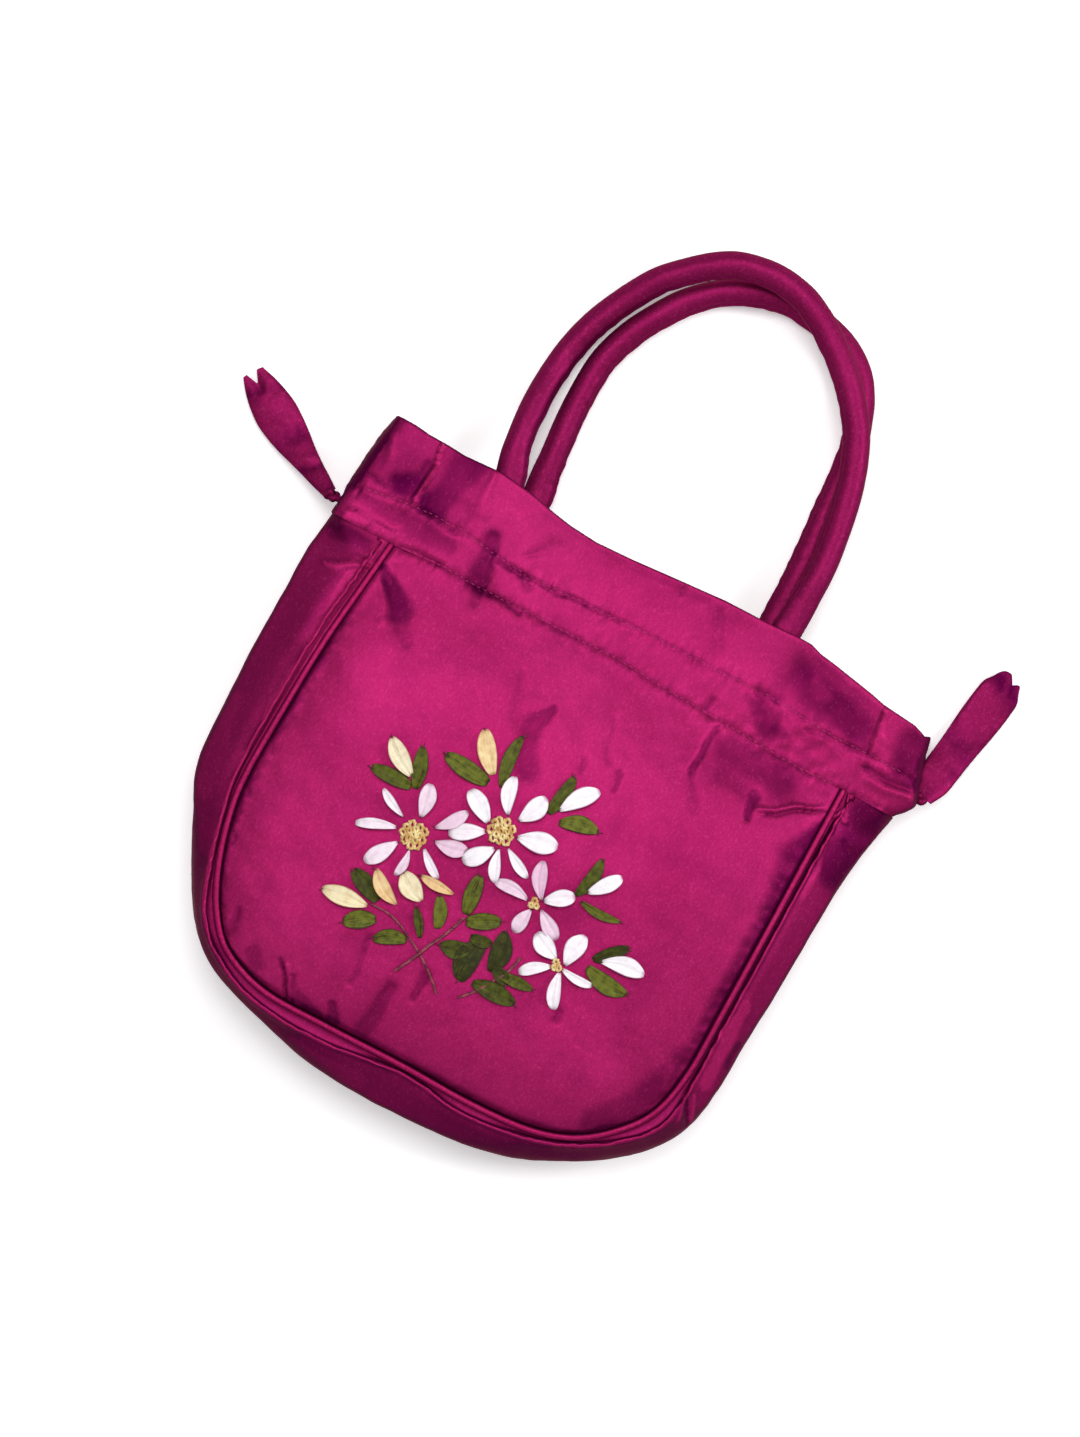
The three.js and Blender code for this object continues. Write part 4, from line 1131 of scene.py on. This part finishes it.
def tab_point(tab, u, v):
    """A point of a tab. u runs round the flat tube's section, and v along it from the knot."""
    sign, heading, curl, stretch, outline, notch_at, notch_depth, corner, folds = tab
    start = KNOTS[sign][1]
    place = start.copy()
    angle = math.radians(heading - curl / 2)
    place.xy += Vector((math.cos(angle), math.sin(angle)))
    turn = 2 * math.pi * u
    aside = math.cos(turn)
    notch = notch_depth * max(0.0, 1 - abs(aside - notch_at) / 0.5) * smooth(v, 0.75, 1.0)
    notch += corner * aside**4 * smooth(v, 0.8, 1.0)
    length = stretch * TAB_LENGTH + 1.4
    share = v - notch / length
    for k in range(TAB_STEPS):
        angle = math.radians(heading + curl * (share * k / TAB_STEPS - 0.5))
        step = share * length / TAB_STEPS
        place.xy += Vector((math.cos(angle), math.sin(angle))) * step
    ease = (1 - min(1.0, share / 0.7)) ** 2
    place.z = TAB_LIE + (start.z - TAB_LIE) * ease
    side = Vector((-math.sin(angle), math.cos(angle), 0.0))
    half = curve(outline, (len(outline) - 1) * v) * TAB_WIDTH / 2
    upper = math.sin(turn)
    thick = TAB_WALL / 2 * (1 - smooth(v, 0.84, 1.0))
    height = thick * math.copysign(abs(upper) ** 0.7, upper)
    along = share * TAB_LENGTH
    across = aside * half
    wrinkle = 0.5 * wave(along, across, 9.0, 51.0 + sign)
    wrinkle += 0.08 * wave(along, 0.35 * across, 1.8, 53.0 + sign)
    point = place + side * across
    free = smooth(upper, 0.0, 0.5) * (1 - smooth(v, 0.85, 1.0))
    point.z += height + wrinkle * free
    # Painted shade: more on the right tab than the left, in soft patches, and along each fold
    # across it, which also dips the cloth.
    shade = 0.1 + 0.08 * sign + 0.7 * wave(along, across, 9.0, 57.0 + sign)
    shade += 0.5 * wave(0.5 * along, across, 2.2, 59.0 + sign)
    for middle, width, painted_shading in folds:
        here = painted_shading * hump(along - 0.3 * across + wave(along, across, 5.0, 60.0) - middle, width)
        shade += here
        point.z -= 0.5 * here * free
    point.z = max(TABLE_GAP, point.z)
    return point, shade


for name, tab in TABS.items():
    bm = cloth_grid(48, 90, lambda u, v, tab=tab: tab_point(tab, u, v), ring=True)
    ends = [edge for edge in bm.edges if edge.is_boundary]
    bmesh.ops.holes_fill(bm, edges=ends, sides=0)
    bmesh.ops.recalc_face_normals(bm, faces=bm.faces)
    tab_piece = new_piece("satin_" + name, bm, painted_shade_satin, "satin", name)


# The handles
# Two tubes of satin stuffed with cord, turned right side out, so that the seam and its small
# wrinkles lie on the inside of the curve. Their ends are sewn flat inside the collar.
# The way of each, from its left end to its right one, in mm from the casing's middle.
FRONT_HANDLE = [
    (-55.5, 8.7), (-56.2, 20), (-57.8, 31), (-60.3, 40), (-61.5, 50), (-61.8, 60),
    (-61.2, 70), (-59.5, 80), (-56.2, 90), (-51.2, 100), (-45, 109.5), (-37.7, 116.7),
    (-31, 122), (-23, 126), (-12, 127.6), (-1.7, 126.1), (6.4, 122.4), (14.7, 116.6),
    (23.8, 108.5), (29.8, 101.3), (34.4, 94.2), (38.4, 84.6), (40.9, 75), (42.8, 63),
    (43.9, 51), (43.6, 40.5), (42.9, 30), (42.4, 20), (42, 8.7),
]
BACK_HANDLE = [
    (-47, 8.7), (-47.5, 20), (-47.9, 31), (-48.9, 40.5), (-49.5, 50), (-50, 60),
    (-49.9, 70), (-48.8, 80), (-45.4, 90), (-40.5, 99), (-33.2, 109), (-23.8, 117),
    (-14, 121.6), (-3, 123.6), (8.4, 122.2), (18.3, 119), (25.6, 113.8), (30.5, 107),
    (33.4, 99.6), (35.5, 92), (36.7, 81), (37.2, 70.5), (37.8, 60), (38.3, 50),
    (38.6, 40.5), (38.8, 30), (38.6, 20), (38.3, 8.7),
]
HANDLE_RADIUS = 4.5
HANDLE_SPACING = 2 * HANDLE_RADIUS + 0.6  # between the middles of the two where they cross
HANDLE_GAP = 0.3  # between a handle and the collar
HANDLE_STEPS = 330
END_HALF = 3.15  # half the thickness of a sewn end
COLLAR_TOP = 31.0
ROUNDING = 17.0  # the length over which a sewn end swells to the round
CLIMB = 50.0  # the length over which the front handle climbs to the mouth's front wall
REACH = 22  # the steps over which it eases up onto the back one


def pressed(y):
    """1 inside the collar, where a handle is sewn flat, and 0 where it is round."""
    return 1 - smooth(y, COLLAR_TOP, COLLAR_TOP + ROUNDING)


def handle_route(rows):
    """The points of a handle's way, still at no height."""
    last = len(rows) - 1
    steps = range(HANDLE_STEPS + 1)
    return [on_bag(*spline(rows, last * i / HANDLE_STEPS), 0.0) for i in steps]


back_route = handle_route(BACK_HANDLE)
for point in back_route:
    share = pressed(point.y - CASING_MIDDLE.y)
    lying = HANDLE_RADIUS + 0.1
    point.z = lying * (1 - share) + (COLLAR_WALL + HANDLE_GAP + END_HALF) * share
front_route = handle_route(FRONT_HANDLE)
# How far above the back handle's middle each point of the front one has to lie.
need = []
for point in front_route:
    away = min((point.xy - other.xy).length for other in back_route)
    need.append(math.sqrt(max(0.0, HANDLE_SPACING**2 - away**2)))
widest = [max(need[max(0, i - REACH) : i + REACH + 1]) for i in range(len(need))]
for i, point in enumerate(front_route):
    around = widest[max(0, i - REACH) : i + REACH + 1]
    share = 1 - smooth(point.y - CASING_MIDDLE.y, COLLAR_TOP, COLLAR_TOP + CLIMB)
    loose = HANDLE_RADIUS + 0.1 + sum(around) / len(around)
    sewn = MOUTH_RISE - COLLAR_WALL - HANDLE_GAP - END_HALF
    point.z = loose * (1 - share) + sewn * share

# The seam runs along the inside of each loop, a little above its middle.
SEAM_TURN = math.radians(152)


def handle_size(route, seed):
    """The half width and half height of a handle, as tube asks for them."""

    def size(i, turn):
        i = min(max(i - 1, 0), len(route) - 1)
        share = pressed(route[i].y - CASING_MIDDLE.y)
        off_seam = math.remainder(turn - SEAM_TURN, 2 * math.pi)
        inner = smooth(-math.cos(turn), -0.3, 0.9)
        radius = HANDLE_RADIUS + 0.16 * ripple(i / 16.0, math.cos(turn), seed)
        radius += 0.26 * inner * ripple(i / 3.2, 0.5 * turn, seed + 3)
        radius += 0.05 * ripple(i / 5.0, 1.2 * turn, seed + 5)
        radius -= 0.45 * hump(off_seam, 0.12)
        wide = radius * (1 + 0.12 * share)
        tall = radius - (HANDLE_RADIUS - END_HALF) * share
        return wide, tall

    return size


for seed, name, route in ((61.0, "back_handle", back_route), (67.0, "front_handle", front_route)):
    bm = tube_mesh(rounded_ends(route, 0.5), 40, handle_size(route, seed))
    crease = bm.verts.layers.float.new("crease")
    for vert in bm.verts:
        # The top of each loop faces the window, so it gets less painted shade.
        vert[crease] = -0.3 * smooth(vert.co.y - CASING_MIDDLE.y, 60.0, 110.0)
    handle = new_piece("satin_" + name, bm, painted_shade_satin, "satin", name)


# The ribbon embroidery
# Each petal, bud and leaf is one stitch of silk ribbon: it rises through the satin at its root,
# lies in a shallow cup and goes down again at its tip, which rolls to a point.
# Each stitch: root x, y, tip x, y, width in mm, and its dye and painted shade from 0 to 1; on the
# leaves the darker values are painted shade.
PETALS = [
    (-10, -64, -13.5, -52.5, 5, 0.1), (-6, -64, -1.5, -54, 6.5, 0.1),
    (-4, -69, 8.5, -66, 7, 0), (-5, -73.5, 4.5, -79, 3.5, 0.1),
    (-7.5, -75, -4, -85, 4, 0.1), (-9, -75.5, -16, -83.5, 6, 0),
    (-14, -72, -24, -77.5, 5.5, 0.25), (-14.5, -69, -24, -62.5, 6, 0.05),
    (-34, -77, -36, -66.5, 5.5, 0.6), (-39, -79.5, -48.5, -74.5, 3, 0.3),
    (-39.5, -83.5, -51.5, -88, 3.5, 0.4), (-37, -87.5, -43.5, -97.5, 5.5, 0.5),
    (-32.5, -88, -33, -97, 3, 0.6), (-28.5, -85.5, -20.5, -92, 3, 0.35),
    (-28.5, -78, -21.5, -69, 4.5, 0.75), (-26.5, -82, -16, -80, 5.5, 0.8),
    (11.5, -83, 6.5, -72, 5, 1), (12.5, -83, 20.5, -77.5, 5.5, 0.25),
    (13, -86, 21.5, -92, 5, 0.75), (10, -87.5, 8.5, -96, 4.8, 0.7),
    (7.5, -85, -4, -84.5, 4.2, 0.7), (27.5, -98, 29, -87, 6.5, 0.1),
    (27.5, -99.5, 38, -100, 3, 0.05), (27, -101, 30.5, -112, 4.5, 0.2),
    (23.5, -100.5, 15.5, -106.5, 4, 0.2), (24, -97.5, 15, -93, 6.5, 0),
    (4, -55.5, 12.5, -44.5, 6, 0), (23.5, -74.5, 31, -65.5, 5, 0),
    (37, -92, 51, -89.5, 6, 0),
]
BUDS = [
    (-42.5, -67, -53.5, -59, 6, 0.1), (-20, -55, -28.5, -43.5, 6, 0.7),
    (-36.5, -109.5, -51.5, -111, 6, 0.35), (-28.5, -105, -39, -98, 5, 0.85),
    (-22, -100.5, -31, -95, 7, 0.25), (-14, -94, -25.5, -93.5, 3.5, 0.9),
]
LEAVES = [
    (-41, -70, -55, -70, 5, 0.4), (-39.5, -70, -43.5, -57, 5, 0.4),
    (-20, -58, -36, -56, 6, 0.2), (-15.5, -57.5, -17, -40, 4.5, 0.4),
    (1, -58, 3.5, -44, 4.5, 0.5), (5.5, -59, 18, -56, 5.5, 0.1),
    (20.5, -77, 23, -63, 4.5, 0.5), (23, -78, 37, -78, 3, 0.3),
    (34.5, -92.5, 43, -84, 4.5, 0.8), (34, -95.5, 49, -97.5, 6, 0.2),
    (-34, -106.5, -45.5, -101.5, 6, 0.7), (-32, -112, -41, -117.5, 6, 0.2),
    (-20.5, -113.5, -30, -118, 5, 0.3), (-17, -111, -22.5, -103, 3, 0.6),
    (-13.5, -106, -17.5, -96.5, 4.5, 0.2), (-7.5, -98, -9, -85, 5.5, 0.3),
    (-6.5, -100, 3.5, -95, 5.5, 0.3), (-1, -107, -10.5, -110, 6, 0.6),
    (1, -103, 0, -117.5, 8, 1), (7.5, -110.5, 6, -97, 7, 0.9),
    (10, -110, 22, -109.5, 4, 0.4), (4, -116, 19, -116, 6, 0.6),
    (-3, -103.5, 4, -102.5, 4, 0.7), (8, -109, 14, -112, 4.5, 0.8),
]
RIBBON_WALL = 0.13
RIBBON_GAP = 0.12  # between the cloth and the ribbon's underside
WHOLE_TURN = 6.28
ribbon_draw = random.Random(12)


def ribbon_stitch(bm, dye_and_shade_layer, row, lift, flat, peak):
    """One stitch of ribbon, held lift mm off the cloth and arched by flat mm.

    A peak above 1 moves its widest place toward its tip.
    """
    x0, y0, x1, y1, width, dye = row
    run = Vector((x1 - x0, y1 - y0))
    aside = Vector((-run.y, run.x)).normalized()
    bend = ribbon_draw.uniform(-0.09, 0.09) * run.length
    arch = flat * ribbon_draw.uniform(0.7, 1.1)
    phase = ribbon_draw.uniform(0, WHOLE_TURN)
    skew = ribbon_draw.uniform(-0.12, 0.12)
    fullness = ribbon_draw.uniform(0.42, 0.66)
    made = bmesh.ops.create_grid(bm, x_segments=12, y_segments=26, size=0.5, calc_uvs=True)
    for vert in made["verts"]:
        a = 2 * vert.co.x
        t = vert.co.y + 0.5
        grow = math.sin(math.pi * min(1.0, 0.05 + 0.93 * t) ** peak) ** fullness
        half = width / 2 * max(0.08, grow)
        sway = bend * 4 * t * (1 - t)
        place = Vector((x0, y0)) + run * t + aside * (a * half + sway + skew * width * t * (1 - t))
        cup = 0.35 * a * a - 0.3 * hump(a - 0.2 * math.sin(phase), 0.22)
        pleats = 0.16 * math.cos(9 * a + phase) * (1 - t)
        roll = -0.25 * abs(a) ** 3 * smooth(t, 0.75, 1.0)
        height = 0.25 + lift + arch * math.sin(math.pi * t) ** 0.7 + 0.7 * (cup + pleats) + roll
        height *= smooth(t, -0.06, 0.1) * (1 - 0.85 * smooth(t, 0.9, 1.0))
        height = cloth_height(place.x, place.y) + RIBBON_GAP + max(0.0, height)
        vert.co = on_bag(place.x, place.y, height)
        vert[dye_and_shade_layer] = dye


def ribbon(name, dye_and_shade_colours, streak, edge, rim, gloss):
    """Silk ribbon, from the first of three colours to the last by each stitch's dye and painted
    shade, with lengthwise streaks and a painted glint along some of them.
    """
    stops = [(0.5 * k, colour) for k, colour in enumerate(dye_and_shade_colours)]
    finish = Finish(name)
    dye = finish.layer("dye")
    uv = finish.node("ShaderNodeUVMap", {"uv_map": "ribbon"})
    lines = finish.noise(uv, (22.0, 1.8, 1.0), 3.0)
    place = finish.place()
    blotch = finish.noise(place, 480.0)
    shade = finish.band(dye + blotch * 0.4, 0.15, 1.3)
    base = finish.node("ShaderNodeValToRGB", {"stops": stops}, [shade])
    colour = finish.mix(finish.band(lines + 0.5 * blotch, 0.66, 1.0) * streak, base, edge)
    glint = finish.band(lines - 0.5 * blotch, 0.26, 0.45)
    colour = finish.mix(glint * streak * 0.35, colour, dye_and_shade_colours[0])
    sides = []
    for axis in ("X", "Y"):
        along = finish.node("ShaderNodeSeparateXYZ", None, [uv], output=axis)
        sides.append(finish.node("ShaderNodeMath", {"operation": "ABSOLUTE"}, [along - 0.5]))
    side = finish.node("ShaderNodeMath", {"operation": "MAXIMUM"}, sides)
    colour = finish.mix(finish.band(side + 0.06 * blotch, 0.45, 0.53) * rim, colour, edge)
    return finish.surface(
        Base_Color=colour,
        Roughness=0.42 + 0.2 * lines,
        Specular_IOR_Level=gloss,
        Normal=finish.bump(lines, 0.00025, 0.35),
    )


petal_finish = ribbon(
    "petal_ribbon",
    [(0.96, 0.94, 0.97, 1.0), (0.9, 0.76, 0.86, 1.0), (0.78, 0.5, 0.67, 1.0)],
    streak=0.22,
    edge=(0.42, 0.2, 0.33, 1.0),
    rim=0.75,
    gloss=0.35,
)
bud_finish = ribbon(
    "bud_ribbon",
    [(0.9, 0.84, 0.6, 1.0), (0.88, 0.74, 0.4, 1.0), (0.8, 0.52, 0.24, 1.0)],
    streak=0.4,
    edge=(0.4, 0.16, 0.08, 1.0),
    rim=0.75,
    gloss=0.3,
)
leaf_finish = ribbon(
    "leaf_ribbon",
    [(0.16, 0.18, 0.02, 1.0), (0.075, 0.09, 0.009, 1.0), (0.026, 0.03, 0.006, 1.0)],
    streak=0.9,
    edge=(0.025, 0.02, 0.006, 1.0),
    rim=0.95,
    gloss=0.12,
)
for name, rows, finish, slot, lift, flat, peak in (
    ("ribbon_leaves", LEAVES, leaf_finish, "leaf_ribbon", 0.0, 0.55, 1.05),
    ("ribbon_buds", BUDS, bud_finish, "bud_ribbon", 0.55, 1.0, 1.2),
    ("ribbon_petals", PETALS, petal_finish, "petal_ribbon", 0.6, 1.0, 1.4),
):
    bm = bmesh.new()
    bm.loops.layers.uv.new("ribbon")
    dye_and_shade_layer = bm.verts.layers.float.new("dye")
    for row in rows:
        ribbon_stitch(bm, dye_and_shade_layer, row, lift, flat, peak)
    piece = new_piece(name, bm, finish, slot)
    thicken(piece, RIBBON_WALL)


# The flower centres and stems
# Embroidery floss, worked by hand through the satin. French knots of gold floss fill each centre,
# and the stems are two plies of purple-brown floss.
KNOT_FLOSS_RADIUS = 0.42
KNOT_FLOSS_STEPS = 18
KNOT_FLOSS_TURNS = 2.1
STEM_PLY_RADIUS = 0.3
STEM_STEPS = 14  # from one point of a stem's row to the next
STEM_TWIST = 1.15  # radians in each step
TYING_RADIUS = 0.2


def floss(name, light, dark):
    finish = Finish(name)
    place = finish.place()
    strands = finish.noise(place, 1800.0)
    patches = finish.noise(place, 500.0)
    return finish.surface(
        Base_Color=finish.mix(finish.band(patches + 0.4 * strands, 0.5, 0.9), dark, light),
        Roughness=0.5,
        Specular_IOR_Level=0.3,
        Normal=finish.bump(strands, 0.0002, 0.5),
    )


gold_floss = floss("gold_floss", (0.9, 0.76, 0.38, 1.0), (0.6, 0.34, 0.1, 1.0))
stem_floss = floss("stem_floss", (0.34, 0.09, 0.11, 1.0), (0.13, 0.02, 0.04, 1.0))
floss_draw = random.Random(31)


def french_knot(bm, x, y, away, angle, lift, radius):
    """Floss wound twice round and drawn down into a small ring, away from a flower's middle."""
    x += away * math.cos(angle)
    y += away * math.sin(angle)
    points = []
    turned = floss_draw.uniform(0, WHOLE_TURN)
    tilt_x = floss_draw.uniform(-0.35, 0.35)
    tilt_y = floss_draw.uniform(-0.35, 0.35)
    base = cloth_height(x, y) + 0.3 + lift
    for k in range(KNOT_FLOSS_STEPS + 1):
        a = turned + KNOT_FLOSS_TURNS * 2 * math.pi * k / KNOT_FLOSS_STEPS
        away = radius * (0.8 + 0.25 * math.sin(2.3 * a))
        dx = away * math.cos(a)
        dy = away * math.sin(a)
        rise = 0.55 * k / KNOT_FLOSS_STEPS
        points.append(on_bag(x + dx, y + dy, base + rise + tilt_x * dx + tilt_y * dy))
    tube(bm, points, 6, KNOT_FLOSS_RADIUS)


bm = bmesh.new()
# Each centre: x, y, the ring's radius and its number of knots.
for x, y, ring, count in (
    (-9.5, -69.5, 3.5, 9),
    (-33.5, -83.0, 3.5, 9),
    (10.0, -85.3, 1.1, 3),
    (25.2, -99.3, 1.2, 3),
):
    large = count > 4
    for k in range(count):
        angle = 2 * math.pi * (k + floss_draw.uniform(-0.2, 0.2)) / count
        away = ring * floss_draw.uniform(0.85, 1.05)
        radius = floss_draw.uniform(1.1, 1.5) * (1.0 if large else 0.75)
        french_knot(bm, x, y, away, angle, 0.1, radius)
    # Five more knots and one in the middle fill a large centre.
    for k in range(6 if large else 0):
        angle = 2 * math.pi * (k + 0.3) / 5
        french_knot(bm, x, y, 1.9 if k < 5 else 0.0, angle, 0.5, floss_draw.uniform(0.85, 1.1))
bmesh.ops.recalc_face_normals(bm, faces=bm.faces)
new_piece("flower_centres", bm, gold_floss, "floss")

STEMS = [
    [(-36, -108.5), (-30, -108.6), (-25, -110), (-20, -112.6), (-15, -115.5),
     (-11.5, -118), (-9, -120), (-6.5, -122.3), (-4.5, -124.5)],
    [(-7.5, -99), (-9, -103), (-11.5, -108.5), (-13.5, -112), (-15, -115.5),
     (-17, -119.5), (-19.5, -124)],
    [(14, -102), (13.4, -105), (12, -109), (10, -112), (6.5, -117.5), (2, -122.5)],
]
bm = bmesh.new()
# The second stem lies across the first.
for number, rows in enumerate(STEMS):
    steps = STEM_STEPS * (len(rows) - 1)
    for ply in (0, 1):
        points = []
        for k in range(steps + 1):
            x, y = spline(rows, (len(rows) - 1) * k / steps)
            turn = STEM_TWIST * k + math.pi * ply
            height = cloth_height(x, y) + 0.5 + 0.5 * (number == 1) + 0.22 * math.sin(turn)
            points.append(on_bag(x + 0.24 * math.cos(turn), y, height))
        tube(bm, points, 6, STEM_PLY_RADIUS)
bmesh.ops.recalc_face_normals(bm, faces=bm.faces)
new_piece("stems", bm, stem_floss, "floss")

# A short end of plum floss ties down the tip of each leaf and bud, and the root of each petal.
plum_floss = floss("plum_floss", (0.2, 0.02, 0.06, 1.0), (0.07, 0.008, 0.02, 1.0))
bm = bmesh.new()
for rows, share, out in ((LEAVES, 1.0, 1.0), (BUDS, 1.0, 1.0), (PETALS, 0.0, -0.5)):
    for x0, y0, x1, y1, _, _ in rows:
        run = Vector((x1 - x0, y1 - y0)).normalized()
        for _ in range(2):
            turned = run.copy()
            turned.rotate(Matrix.Rotation(floss_draw.uniform(-0.9, 0.9), 2))
            reach = out * floss_draw.uniform(1.2, 2.2)
            start = Vector((x0, y0)).lerp(Vector((x1, y1)), share) - run * 0.6 * out
            ends = []
            for place in (start, start + turned * reach):
                ends.append(on_bag(place.x, place.y, cloth_height(place.x, place.y) + 0.45))
            stitch(bm, *ends, TYING_RADIUS)
new_piece("tying_floss", bm, plum_floss, "floss")
